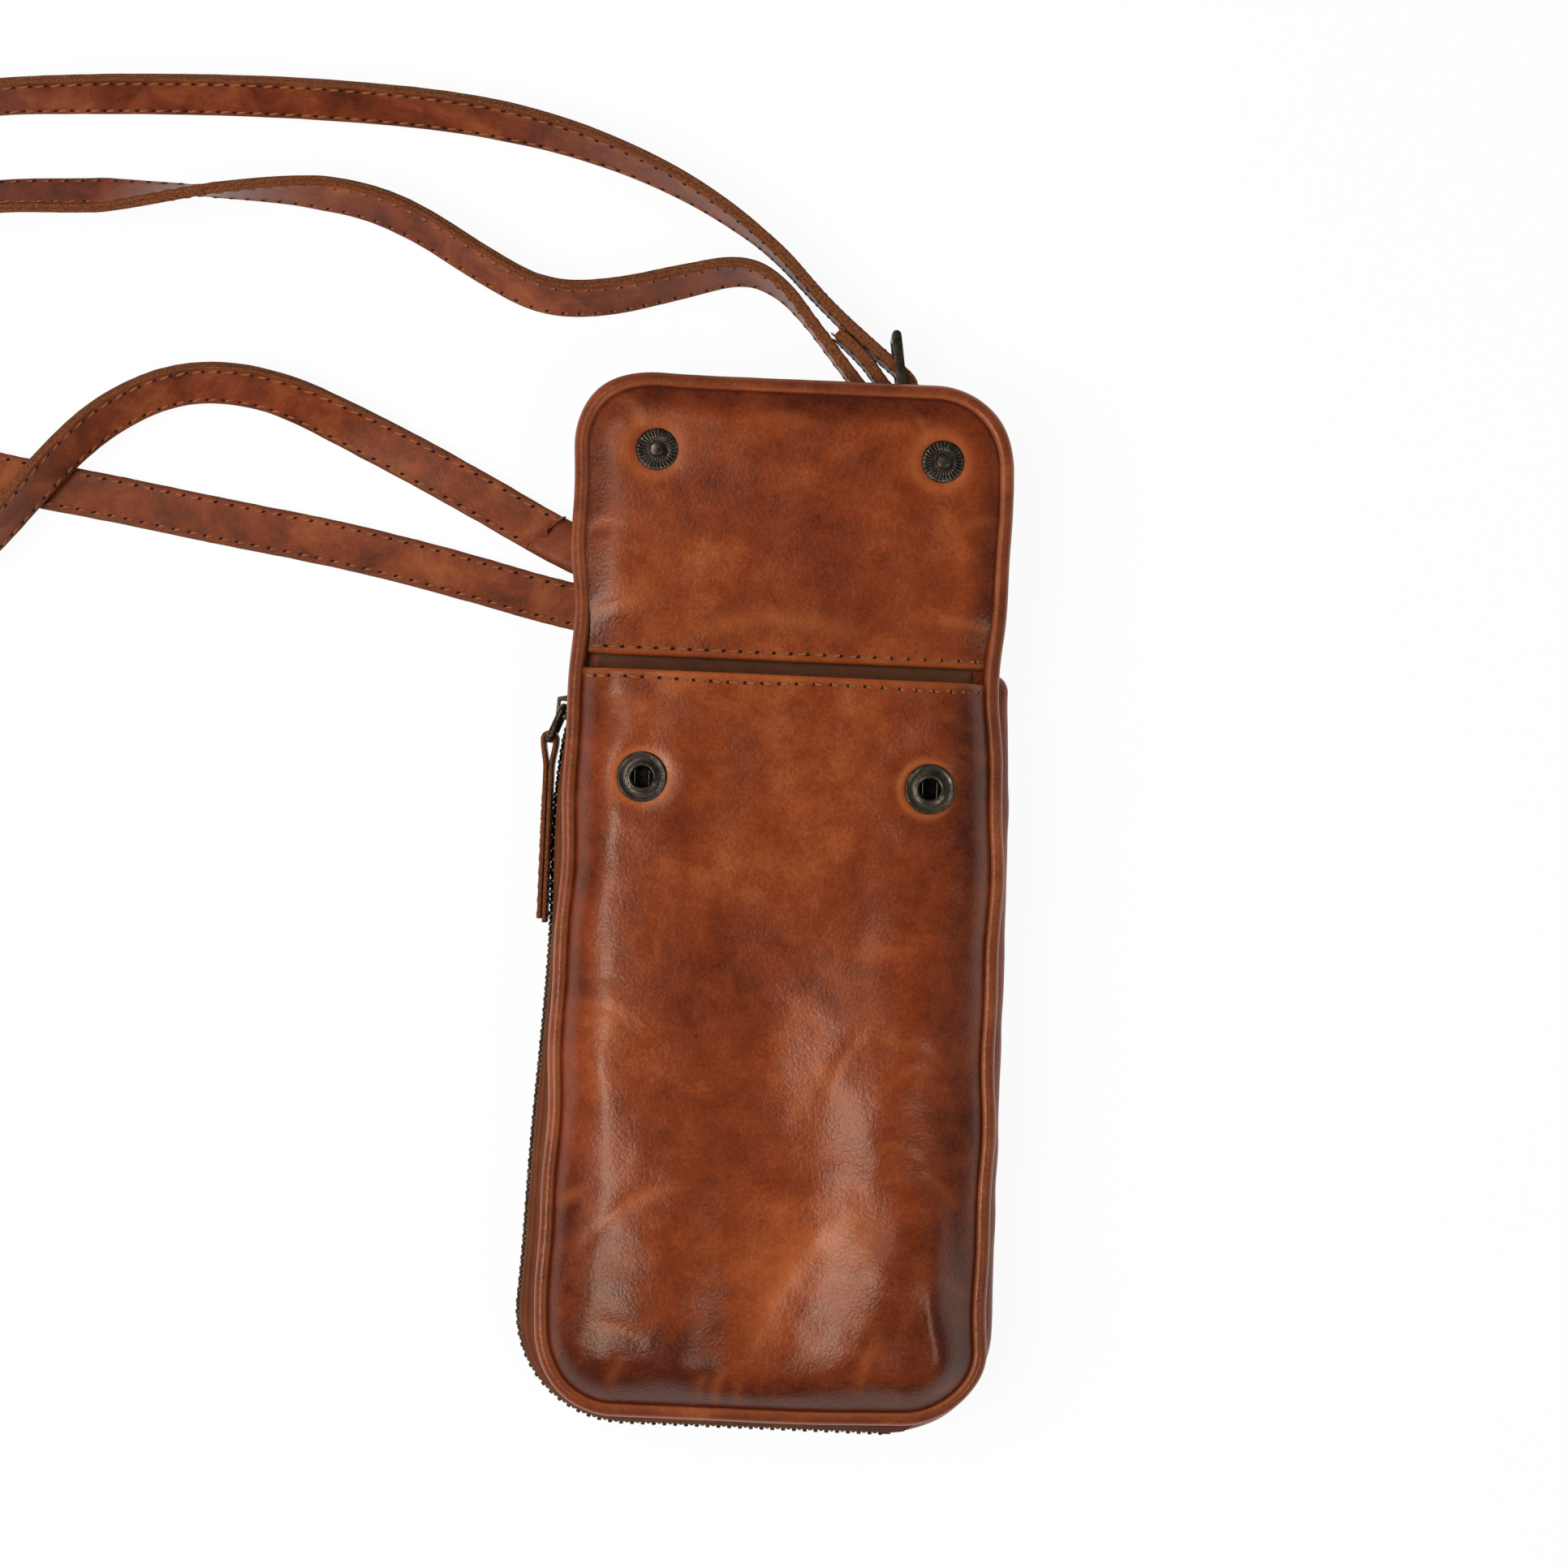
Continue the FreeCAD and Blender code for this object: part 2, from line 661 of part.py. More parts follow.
def make_zip_pull(spot, heading):
    """The pull ring from the slider's bridge to the fold of the puller, and the leather puller."""
    turn = math.radians(heading)
    eye = spot + Vector(math.sin(turn), -math.cos(turn), 0) * eye_out
    across = puller_x - eye.x
    drop = math.sqrt(pull_length ** 2 - across ** 2)
    fold = Vector(puller_x, eye.y - drop, chain_z)
    half = Vector(0, 0, (pull_inner_width + pull_wire) / 2)
    ring = bent_wire([eye - half, fold - half, fold + half, eye + half], pull_corner, pull_wire)
    inner = pull_wire / 2 + puller_play
    outer = inner + puller_leather
    low = fold - Vector(0, 0, puller_width / 2)
    tip = Vector(0, puller_tip_y - fold.y, 0)
    side = Vector(puller_leather, 0, 0)
    neck = Vector(0, -puller_neck, 0)
    skin = half_turn(low, Vector(outer, 0, 0), Vector(0, 1, 0), fold_faces)
    skin += [low - side + neck, low - side + tip, low + side + tip, low + side + neck]
    opening = half_turn(low, Vector(inner, 0, 0), Vector(0, 1, 0), fold_faces)
    opening.append(low + Vector(0, -puller_eye, 0))
    width = Vector(0, 0, puller_width)
    print("pull ring turns at", [round(v, 3) for v in eye], "puller turns at", [round(v, 3) for v in fold])
    return {"zip_pull_ring": ring, "zip_puller": prism(skin, width).cut(prism(opening, width))}


# Press snaps


def make_snaps():
    parts = {}
    for side, (x, y) in snap_places(socket_y).items():
        base = socket_top - socket_depth
        parts["snap_socket_" + side] = make_socket(x, y)
        parts["snap_spring_" + side] = make_spring(x, y)
        parts["snap_plate_" + side] = upright(x, y, base - plate_thickness, plate_diameter, plate_thickness)
    for side, (x, y) in snap_places(stud_y).items():
        parts["snap_stud_" + side] = make_stud(x, y)
        parts["snap_cap_" + side] = make_cap(x, y)
    return parts


def make_socket(x, y):
    """A dished flange on the leather and a barrel through it, with a lip round the hole."""
    base = socket_top - socket_depth
    under = panel_top
    flange = socket_flange_diameter / 2
    hole = socket_hole / 2
    return turned(((hole, socket_top - socket_rim), (hole + socket_rim, socket_top),
                   (flange - socket_rim, socket_top), (flange, socket_top - socket_rim),
                   (flange, under), (socket_barrel / 2, under), (socket_barrel / 2, base),
                   (socket_cavity / 2, base), (socket_cavity / 2, socket_top - socket_lip - socket_rim),
                   (hole, socket_top - socket_lip - socket_rim)), x, y)


def make_spring(x, y):
    """The two straight legs of the wire spring that grip the stud, held under the lip."""
    z = socket_top - socket_lip - socket_rim - spring_wire / 2 - seam_gap
    legs = []
    for side in (-1, 1):
        middle = Vector(x + side * (spring_gap - seam_gap) / 2, y, z)
        reach = Vector(0, spring_length / 2, 0)
        legs.append(round_run([middle - reach, middle + reach], Vector(0, 0, 1), spring_wire))
    return Part.makeCompound(legs)


def make_stud(x, y):
    """A flange on the facing, a waisted head that snaps into the socket, and a post below."""
    top = facing_top + stud_flange + stud_height
    flange_top = facing_top + stud_flange
    neck_top = flange_top + stud_height / 2
    foot = rear_depth
    return turned(((0, foot), (post_diameter / 2, foot), (post_diameter / 2, facing_top),
                   (stud_flange_diameter / 2, facing_top), (stud_flange_diameter / 2, flange_top),
                   (stud_neck / 2, flange_top), (stud_neck / 2, neck_top),
                   (stud_head / 2, neck_top + stud_lead), (stud_head / 2, top - stud_lead),
                   (stud_head / 2 - stud_lead, top), (0, top)), x, y)


def make_cap(x, y):
    radius = cap_diameter / 2
    low = rear_depth - cap_height
    return turned(((0, low), (radius - cap_height, low), (radius, rear_depth - cap_rim),
                   (radius, rear_depth), (0, rear_depth)), x, y)


# Strap rings and tabs


def make_rings():
    parts = {}
    half = (ring_inner_width + ring_wire) / 2
    far_y = ring_bar_y + ring_inner_length + ring_wire
    for side, middle in (("left", -ring_x), ("right", ring_x)):
        spots = [Vector(middle - half, ring_bar_y, ring_z), Vector(middle + half, ring_bar_y, ring_z),
                 Vector(middle + half, far_y, ring_z), Vector(middle - half, far_y, ring_z)]
        parts["strap_ring_" + side] = bent_wire(spots, ring_corner, ring_wire)
        parts["ring_tab_" + side] = make_tab(middle)
    return parts


def make_tab(middle):
    """A leather strip folded round the ring's bar, both ends sewn to the top of the gusset."""
    start = Vector(middle - tab_width / 2, ring_bar_y, ring_z)
    root = Vector(0, rear_top_reach - ring_bar_y, 0)
    shapes = []
    for radius in (ring_wire / 2 + tab_play + tab_leather, ring_wire / 2 + tab_play):
        fold = half_turn(start, Vector(0, 0, radius), Vector(0, 1, 0), fold_faces)
        shapes.append(prism(fold + [fold[-1] + root, fold[0] + root], Vector(tab_width, 0, 0)))
    return shapes[0].cut(shapes[1])


# Strap


def route_points():
    """The route as points with leans, each set at the height that its lean needs."""
    points = []
    for name, rows in strap_route:
        for x, y, lift, lean in rows:
            turn = math.radians(lean)
            rise = (strap_width * abs(math.sin(turn)) + strap_thickness * abs(math.cos(turn))) / 2
            points.append((name, Vector(x, ring_bar_y + y, lift + rise), lean))
    return points


def strap_stations(points):
    """Places along the route with heading and lean: straight runs joined by tangent arcs."""
    spots = [spot for _, spot, _ in points]
    leans = [lean for _, _, lean in points]
    runs = [b - a for a, b in zip(spots, spots[1:])]
    trims = []
    radii = []
    for index in range(1, len(spots) - 1):
        turn = runs[index - 1].getAngle(runs[index])
        trim = bend_share * min(runs[index - 1].Length, runs[index].Length)
        trims.append(trim)
        radii.append(trim / math.tan(turn / 2))
    print("strap radii:", [round(radius, 1) for radius in radii])
    ends = [0.0] + trims + [0.0]
    stations = []
    for index, run in enumerate(runs):
        heading = Vector(run).normalize()
        first, last = ends[index], run.Length - ends[index + 1]
        change = lean_change(leans[index], leans[index + 1])
        count = max(1, math.ceil(abs(change) / lean_step_degrees))
        for step in range(count + 1):
            reach = first + (last - first) * step / count
            lean = leans[index] + change * reach / run.Length
            stations.append((points[index][0], index + reach / run.Length, spots[index] + heading * reach,
                             heading, lean))
        if index + 1 < len(runs):
            stations += bend_stations(points, runs, index, trims[index], radii[index], leans)
    return stations


def bend_stations(points, runs, index, trim, radius, leans):
    """Places inside the arc that joins one run to the next."""
    corner = points[index + 1][1]
    before = Vector(runs[index]).normalize()
    after = Vector(runs[index + 1]).normalize()
    turn = before.getAngle(after)
    start = corner - before * trim
    inward = (after - before * before.dot(after)).normalize()
    count = max(2, math.ceil(math.degrees(turn) / bend_step_degrees))
    stations = []
    for step in range(1, count):
        angle = turn * step / count
        spot = start + before * (radius * math.sin(angle)) + inward * (radius * (1 - math.cos(angle)))
        heading = before * math.cos(angle) + inward * math.sin(angle)
        share = step / count
        back = lean_change(leans[index], leans[index + 1]) * (trim / runs[index].Length) * (1 - share)
        ahead = lean_change(leans[index + 1], leans[index + 2]) * (trim / runs[index + 1].Length) * share
        lean = leans[index + 1] - back * (1 - share) + ahead * share
        place = index + 1 + (2 * share - 1) * trim / runs[index + (0 if share < 1 / 2 else 1)].Length
        name = points[index][0] if place < index + 1 else points[index + 1][0]
        stations.append((name, place, spot, heading, lean))
    return stations


def lean_change(lean, next_lean):
    """The short way from one lean to the next, as a strap looks the same after a half turn."""
    return (next_lean - lean + 90) % 180 - 90


def strap_sections(stations):
    """A rectangle across the strap at each place, with its width kept from flipping over."""
    sections = []
    last_width = None
    for name, place, spot, heading, lean in stations:
        level = Vector(-heading.y, heading.x, 0)
        turn = math.radians(lean)
        if level.Length > 1 / 2:
            width = level.normalize() * math.cos(turn) + Vector(0, 0, math.sin(turn))
        else:
            width = Vector(last_width)
        width = (width - heading * width.dot(heading)).normalize()
        if last_width is not None and width.dot(last_width) < 0:
            width = width * -1
        last_width = width
        across = width * (strap_width / 2)
        through = heading.cross(width) * (strap_thickness / 2)
        corners = [spot + across + through, spot - across + through, spot - across - through,
                   spot + across - through]
        sections.append((name, place, corners))
    return sections


def make_strap():
    """One solid for each stretch of the strap. Neighbours share the section where they meet."""
    points = route_points()
    stations = strap_stations(points)
    sections = strap_sections(stations)
    parts = {}
    total = 0.0
    for name, rows in strap_route:
        inside = [index for index, section in enumerate(sections) if section[0] == name]
        first, last = inside[0], min(inside[-1] + 1, len(sections) - 1)
        rings = [sections[index][2] for index in range(first, last + 1)]
        length = sum((stations[index + 1][2] - stations[index][2]).Length for index in range(first, last))
        parts[name] = ringed(rings)
        total += length
        share = parts[name].Volume / (length * strap_width * strap_thickness)
        print(name, "length", round(length, 1), "volume share", round(share, 3))
    print("strap length", round(total, 1))
    return parts


def make_adjuster():
    """A slide with two rails and three bars: the sewn end is on the middle bar."""
    middle = Vector(adjuster_x, adjuster_y, adjuster_floor)
    turn = math.radians(adjuster_heading_degrees)
    along = Vector(math.cos(turn), math.sin(turn), 0)
    side = Vector(-along.y, along.x, 0)
    height = strap_width + 2 * adjuster_clearance + 2 * adjuster_rail
    end = along * adjuster_half_length
    half = adjuster_bar / 2
    bars = []
    for step in (-1, 0, 1):
        foot = middle + along * (adjuster_half_length * step)
        bars.append(round_run([foot, foot + Vector(0, 0, height)], along, adjuster_bar))
    rails = []
    for level in (0, height - adjuster_rail):
        up = Vector(0, 0, level)
        places = [middle - end - side * half + up, middle + end - side * half + up,
                  middle + end + side * half + up, middle - end + side * half + up]
        rails.append(prism(places, Vector(0, 0, adjuster_rail)))
    return bars[0].multiFuse(bars[1:] + rails).removeSplitter()


def main():
    os.makedirs("parts", exist_ok=True)
    parts = {}
    for group in (make_front_pocket, make_flap, make_piping, make_rear, make_chain, make_snaps, make_rings,
                  make_strap):
        parts.update(group())
    spot, heading = chain_frames()[0]
    parts["zip_slider"] = placed(make_slider(), spot, heading)
    parts.update(make_zip_pull(spot, heading))
    parts["strap_adjuster"] = make_adjuster()
    turn = math.radians(heading)
    print("slide runs along", round(math.cos(turn), 5), round(math.sin(turn), 5))
    print("flap turns at y", round(fold_axis_y, 3), "z", round(fold_axis_z, 3))
    for name, shape in parts.items():
        if not shape.isValid():
            print("not valid:", name)
        shape.exportStep("parts/" + name + ".step")
    print(len(parts), "parts")


main()
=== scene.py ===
# %% [markdown]
# # A leather pouch with its flap open
# The pouch lies on its back: a crowned front pocket with two snap sockets, a padded flap folded
# open above it, a zipped compartment behind, and a narrow shoulder strap laid out to the left.
# The solids from the CAD model are the frame, and nearly every piece is made again around them.

# %% Load the frame
import bpy
import bmesh
import math
import numpy as np
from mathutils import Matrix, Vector, noise


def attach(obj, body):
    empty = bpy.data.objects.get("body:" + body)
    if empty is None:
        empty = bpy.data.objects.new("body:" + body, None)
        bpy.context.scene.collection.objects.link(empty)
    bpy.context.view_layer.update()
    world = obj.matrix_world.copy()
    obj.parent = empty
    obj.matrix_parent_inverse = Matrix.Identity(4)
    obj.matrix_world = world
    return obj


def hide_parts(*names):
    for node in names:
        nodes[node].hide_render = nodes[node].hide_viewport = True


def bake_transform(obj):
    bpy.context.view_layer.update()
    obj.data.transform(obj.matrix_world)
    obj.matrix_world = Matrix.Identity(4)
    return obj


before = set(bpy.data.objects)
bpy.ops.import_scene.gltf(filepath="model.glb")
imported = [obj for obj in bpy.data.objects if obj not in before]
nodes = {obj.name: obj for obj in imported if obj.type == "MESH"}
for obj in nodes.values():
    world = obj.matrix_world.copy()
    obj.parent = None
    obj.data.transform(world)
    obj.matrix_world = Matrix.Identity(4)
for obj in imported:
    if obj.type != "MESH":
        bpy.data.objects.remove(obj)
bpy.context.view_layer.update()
scene = bpy.context.scene
MM = 0.001
SIDES = (("left", -1), ("right", 1))

# %% [markdown]
# ## Camera
# A product photograph of something flat is taken from straight above. The camera looks down from
# a metre, turned by two and a half degrees, because the pouch was not laid quite square.

# %% Camera
camera_data = bpy.data.cameras.new("camera")
camera_data.sensor_width = 36.0
camera_data.lens = 84.4
camera = bpy.data.objects.new("camera", camera_data)
camera.location = (-0.49 * MM, 31.2 * MM, 1.0)
camera.rotation_euler = (0.0, 0.0, math.radians(2.5))
scene.collection.objects.link(camera)
scene.camera = camera
scene.view_settings.view_transform = "Standard"
print("camera", camera.location[2], "m above the table")

# %% [markdown]
# ## Making a mesh
# Every piece is worked out in millimetres and written to its mesh in metres, so its object stays
# at the origin. A grid of rows and columns is the commonest shape: panels, tubes and straps are all
# grids, and only the ends that are joined differ.

# %% Mesh helpers
def new_object(name, data):
    obj = bpy.data.objects.new(name, data)
    scene.collection.objects.link(obj)
    return obj


def new_piece(name, points, faces):
    """A smooth mesh from points in millimetres, which may come as a grid of them."""
    mesh = bpy.data.meshes.new(name)
    points = np.asarray(points, float).reshape(-1, 3)
    mesh.from_pydata(points * MM, [], [tuple(map(int, face)) for face in faces])
    mesh.update()
    mesh.polygons.foreach_set("use_smooth", [True] * len(mesh.polygons))
    return new_object(name, mesh)


def grid_faces(rows, columns, round_rows=False, round_columns=False):
    """Four-sided faces of a grid; a round direction joins its last line to its first."""
    r = np.arange(rows if round_rows else rows - 1)[:, None]
    c = np.arange(columns if round_columns else columns - 1)[None, :]
    r2, c2 = (r + 1) % rows, (c + 1) % columns
    corners = [r * columns + c, r * columns + c2, r2 * columns + c2, r2 * columns + c]
    return np.stack([corner.ravel() for corner in corners], axis=1).tolist()


def tube_faces(rows, columns, closed=False):
    """Faces of a tube through rings of points, closed on itself or capped at both ends."""
    faces = grid_faces(rows, columns, closed, True)
    if not closed:
        faces += [range(columns)[::-1], range(columns * (rows - 1), columns * rows)]
    return faces


def face_out(obj, merge=0.0):
    """Turns all faces outwards, after joining points that lie closer than merge."""
    shell = bmesh.new()
    shell.from_mesh(obj.data)
    if merge:
        bmesh.ops.remove_doubles(shell, verts=shell.verts, dist=merge * MM)
    bmesh.ops.recalc_face_normals(shell, faces=shell.faces)
    shell.to_mesh(obj.data)
    shell.free()
    return obj


def set_values(obj, **values):
    """Numbers for the points of a mesh, which a finish can read by name; a short row is repeated."""
    for name, given in values.items():
        attribute = obj.data.attributes.new(name, "FLOAT", "POINT")
        row = np.resize(np.asarray(given, np.float32), len(obj.data.vertices))
        attribute.data.foreach_set("value", row)


def settle(obj):
    """Makes what the modifiers give the object's own mesh."""
    graph = bpy.context.evaluated_depsgraph_get()
    mesh = bpy.data.meshes.new_from_object(obj.evaluated_get(graph))
    obj.modifiers.clear()
    obj.data = mesh
    return obj


def thicken(obj, wall):
    """Gives a sheet its wall, inwards from the face that shows."""
    wall_maker = obj.modifiers.new("wall", "SOLIDIFY")
    wall_maker.thickness = wall * MM
    wall_maker.offset = -1.0
    return settle(obj)


print("a grid of 3 by 4 points has", len(grid_faces(3, 4)), "faces")

# %% [markdown]
# ## Places and fields
# Points are kept in arrays whose last axis holds X, Y and Z, so that one sum moves a whole grid. These
# helpers give directions, rings of points along a line, smooth noise, and the soft steps and humps that
# shape the leather.

# %% Place helpers
def places(x, y, z=0.0):
    return np.stack(np.broadcast_arrays(x, y, z), axis=-1).astype(float)


def unit(vectors):
    return vectors / np.linalg.norm(vectors, axis=-1, keepdims=True)


def full_turn(steps):
    return np.linspace(0.0, 2 * math.pi, steps + 1)[:-1]


def rings_along(line, across, up, a, b):
    """Rings of points along a line, each set off by a across it and by b upwards."""
    a, b = np.atleast_2d(a), np.atleast_2d(b)
    return line[:, None] + across[:, None] * a[:, :, None] + up[:, None] * b[:, :, None]


def rough(points, size, seed):
    """Smooth noise from -1 to 1 at points, with a feature size in millimetres."""
    shift = Vector((seed * 7.13, seed * 3.71, seed * 5.37))
    points = np.asarray(points, float)
    values = [noise.noise(Vector(p) / size + shift) for p in points.reshape(-1, 3)]
    return np.array(values).reshape(points.shape[:-1])


def smooth_step(low, high, values):
    t = np.clip((np.asarray(values, float) - low) / (high - low), 0.0, 1.0)
    return t * t * (3.0 - 2.0 * t)


def hump(values, middle, width):
    return np.exp(-((values - middle) / width) ** 2)


print("a step is", smooth_step(0.0, 1.0, 0.5), "half way up, and a hump", hump(0.0, 0.0, 1.0), "at its top")

# %% [markdown]
# ## The strap's line
# The strap is one long strip. It starts on the adjuster, runs out to the left and back, loops through
# the right ring, runs out and back again, passes the adjuster and ends round the left ring. Its line is
# a smooth NURBS spline that listed points guide. Each point also has a lean, because the strip lies
# flat in some places and stands on its edge in others, and the lean is read off between the points in
# the spline's own measure.

# %% Strap line
strap_width = 12.6
strap_thickness = 3.0
strap_points = (  # x, y, height of the lower edge above the table, lean in degrees
    (9.0, 152.9, 1.2, 90), (16.4, 146.7, 1.9, 90), (21.0, 140.2, 2.1, 90), (26.19, 134.8, 2.1, 90),
    (31.0, 139.61, 2.1, 90), (20.6, 147.6, 2.1, 90), (5.6, 160.2, 0.8, 90), (-11.7, 178.4, 0.1, -85),
    (-42.2, 196.2, 0.1, -70), (-83.2, 208.2, 0.1, -52), (-137.0, 211.2, 0.1, -50), (-190.0, 210.0, 0.1, -52),
    (-236.0, 206.5, 0.1, -65), (-270.0, 190.0, 0.1, -82), (-289.0, 158.0, 0.1, -90),
    (-290.0, 120.0, 0.1, -90), (-274.0, 87.0, 0.1, 90), (-247.0, 72.0, 0.8, 80),
    (-225.0, 79.5, 2.4, 68), (-212.5, 94.0, 4.4, 60),
    (-199.5, 111.0, 4.4, 55), (-186.0, 124.5, 1.0, 48), (-167.0, 133.4, 0.1, 45), (-144.0, 132.4, 0.1, 40),
    (-118.5, 121.4, 0.1, 20), (-89.0, 107.2, 0.1, 5), (-62.0, 92.8, 1.6, 0), (-45.0, 86.6, 3.5, 0),
    (-27.0, 82.6, 3.4, 0), (-5.0, 80.4, 3.6, 0), (12.0, 79.2, 5.4, 0), (21.0, 78.9, 9.6, 0),
    (29.0, 78.85, 13.2, 0), (36.7, 78.85, 13.2, 0), (36.7, 78.85, 6.8, 0), (29.0, 78.85, 6.8, 0),
    (20.0, 77.8, 4.4, 0), (6.0, 75.4, 1.0, 0), (-10.0, 73.6, 0.1, 0), (-34.0, 73.2, 0.1, 0),
    (-61.6, 76.8, 0.1, 0), (-91.1, 84.2, 0.1, 0), (-122.5, 90.8, 0.1, 0), (-154.0, 95.4, 0.1, 0),
    (-185.0, 100.6, 0.1, 0), (-212.0, 104.4, 0.2, 4), (-234.0, 108.5, 0.5, 25), (-254.0, 120.0, 0.4, 65),
    (-262.0, 142.0, 0.3, 90), (-255.0, 165.0, 0.1, -75), (-238.0, 177.5, 0.1, -55), (-219.3, 181.2, 0.1, -47),
    (-192.0, 182.0, 0.5, -45), (-160.0, 185.1, 0.5, -88), (-131.2, 186.0, 0.3, 62), (-110.0, 181.0, 0.1, 55),
    (-86.2, 166.8, 0.1, 55), (-71.0, 159.6, 0.1, 55), (-54.0, 160.2, 0.1, 57), (-34.0, 165.6, 0.1, 62),
    (-17.5, 170.0, 0.1, 70), (-7.0, 165.4, 0.1, 82), (1.5, 156.0, 0.6, 90), (11.0, 144.0, 1.7, 90),
    (18.2, 135.6, 2.1, 90), (29.5, 129.2, 2.1, 90), (40.0, 120.5, 1.8, 90), (43.0, 107.5, 1.6, 84),
    (35.5, 97.0, 2.6, 70), (21.5, 91.5, 5.0, 48), (5.5, 86.8, 8.2, 22), (-10.0, 80.8, 10.9, 6),
    (-24.0, 78.85, 13.2, 0), (-36.7, 78.85, 13.2, 0), (-36.7, 78.85, 6.8, 0), (-29.0, 78.85, 6.8, 0),
    (-17.0, 79.0, 7.3, 0))
strap_rows = np.array(strap_points, float)
lean_turn = np.radians(strap_rows[:, 3])
strap_rise = (strap_width * abs(np.sin(lean_turn)) + strap_thickness * abs(np.cos(lean_turn))) / 2
strap_spots = np.column_stack([strap_rows[:, :2], strap_rows[:, 2] + strap_rise])

line_data = bpy.data.curves.new("strap_line", "CURVE")
line_data.dimensions = "3D"
spline = line_data.splines.new("NURBS")
spline.points.add(len(strap_spots) - 1)
for point, spot in zip(spline.points, strap_spots):
    point.co = (*(spot * MM), 1.0)
spline.order_u = 3
spline.use_endpoint_u = True
spline.resolution_u = 12
line_object = new_object("strap_line", line_data)
graph = bpy.context.evaluated_depsgraph_get()
line_mesh = bpy.data.meshes.new_from_object(line_object.evaluated_get(graph))
strap_line = np.array([vertex.co for vertex in line_mesh.vertices]) / MM
bpy.data.objects.remove(line_object)
strap_steps = np.linalg.norm(np.diff(strap_line, axis=0), axis=1)
strap_reach = np.concatenate([[0.0], np.cumsum(strap_steps)])
print("strap:", len(strap_line), "places,", round(strap_reach[-1], 1), "mm")

# %% [markdown]
# ## Which way the strap faces
# At each place along the line the strip needs a direction across its width. It starts level, is
# turned by the lean, and is kept from flipping over where the line passes straight down.

# %% Strap frames
lean_steps = (np.diff(strap_rows[:, 3]) + 90.0) % 180.0 - 90.0
lean_values = strap_rows[0, 3] + np.concatenate([[0.0], np.cumsum(lean_steps)])
last_knot = len(strap_rows) - 2.0
knot_places = np.clip(np.arange(len(strap_rows)) - 0.5, 0.0, last_knot)
knot_places[-1] = last_knot
spline_places = np.linspace(0.0, last_knot, len(strap_line))
strap_lean = np.radians(np.interp(spline_places, knot_places, lean_values))
strap_ahead = unit(np.gradient(strap_line, axis=0))
strap_across = np.zeros_like(strap_line)
steep = 0.5  # a line that runs less level than this keeps the direction before it
for index, (ahead, lean) in enumerate(zip(strap_ahead, strap_lean)):
    level = np.array([-ahead[1], ahead[0], 0.0])
    across = before = strap_across[index - 1]
    if np.linalg.norm(level) >= steep:
        across = unit(level) * math.cos(lean) + np.array([0.0, 0.0, math.sin(lean)])
    across = unit(across - ahead * np.dot(across, ahead))
    strap_across[index] = -across if index and np.dot(across, before) < 0 else across
strap_through = np.cross(strap_ahead, strap_across)
print("lean from", round(lean_values.min()), "to", round(lean_values.max()), "degrees")

# %% [markdown]
# ## The strap
# Two strips of leather are glued back to back and sewn along both edges. The section has a shallow
# hollow between the stitch rows, rounded shoulders and a fine groove round the raw edge where the two
# layers meet. It is swept along the line as a grid, so the edge can be roughened point by point.

# %% Strap mesh
half_profile = [(2.4, 1.38), (5.2, 1.42), (5.75, 1.5), (6.1, 1.3), (6.28, 0.85), (6.24, 0.3), (6.08, 0.0)]
right_side = half_profile + [(x, -z) for x, z in half_profile[-2::-1]]
profile = np.array(right_side + [(-x, z) for x, z in right_side[::-1]])
raw_edge = smooth_step(5.9, 6.2, abs(profile[:, 0]))
fray_places = strap_line[:, None] + np.column_stack([profile, profile[:, 0]]) * 3.0
across_reach = profile[:, 0] * (1.0 + 0.022 * rough(fray_places, 1.6, 3) * raw_edge)
through_reach = profile[:, 1] * (1.0 + 0.06 * rough(strap_line, 14.0, 5)[:, None])
strap_rings = rings_along(strap_line, strap_across, strap_through, across_reach, through_reach)
strap_rings[:, :, 2] = np.maximum(strap_rings[:, :, 2], 0.02)
strap = face_out(new_piece("shoulder_strap", strap_rings, tube_faces(*strap_rings.shape[:2])))
set_values(strap, raw=raw_edge, side=profile[:, 0] / (strap_width / 2))
print("strap mesh:", len(strap.data.polygons), "faces")

# %% [markdown]
# ## Shader sums as Python
# A finish is mostly arithmetic on patterns. This class wraps a socket, so that `1 - mask * 0.4` adds
# the Math nodes by itself. Any other node comes from `node`, which takes the node's type, its
# settings and what goes into its sockets.

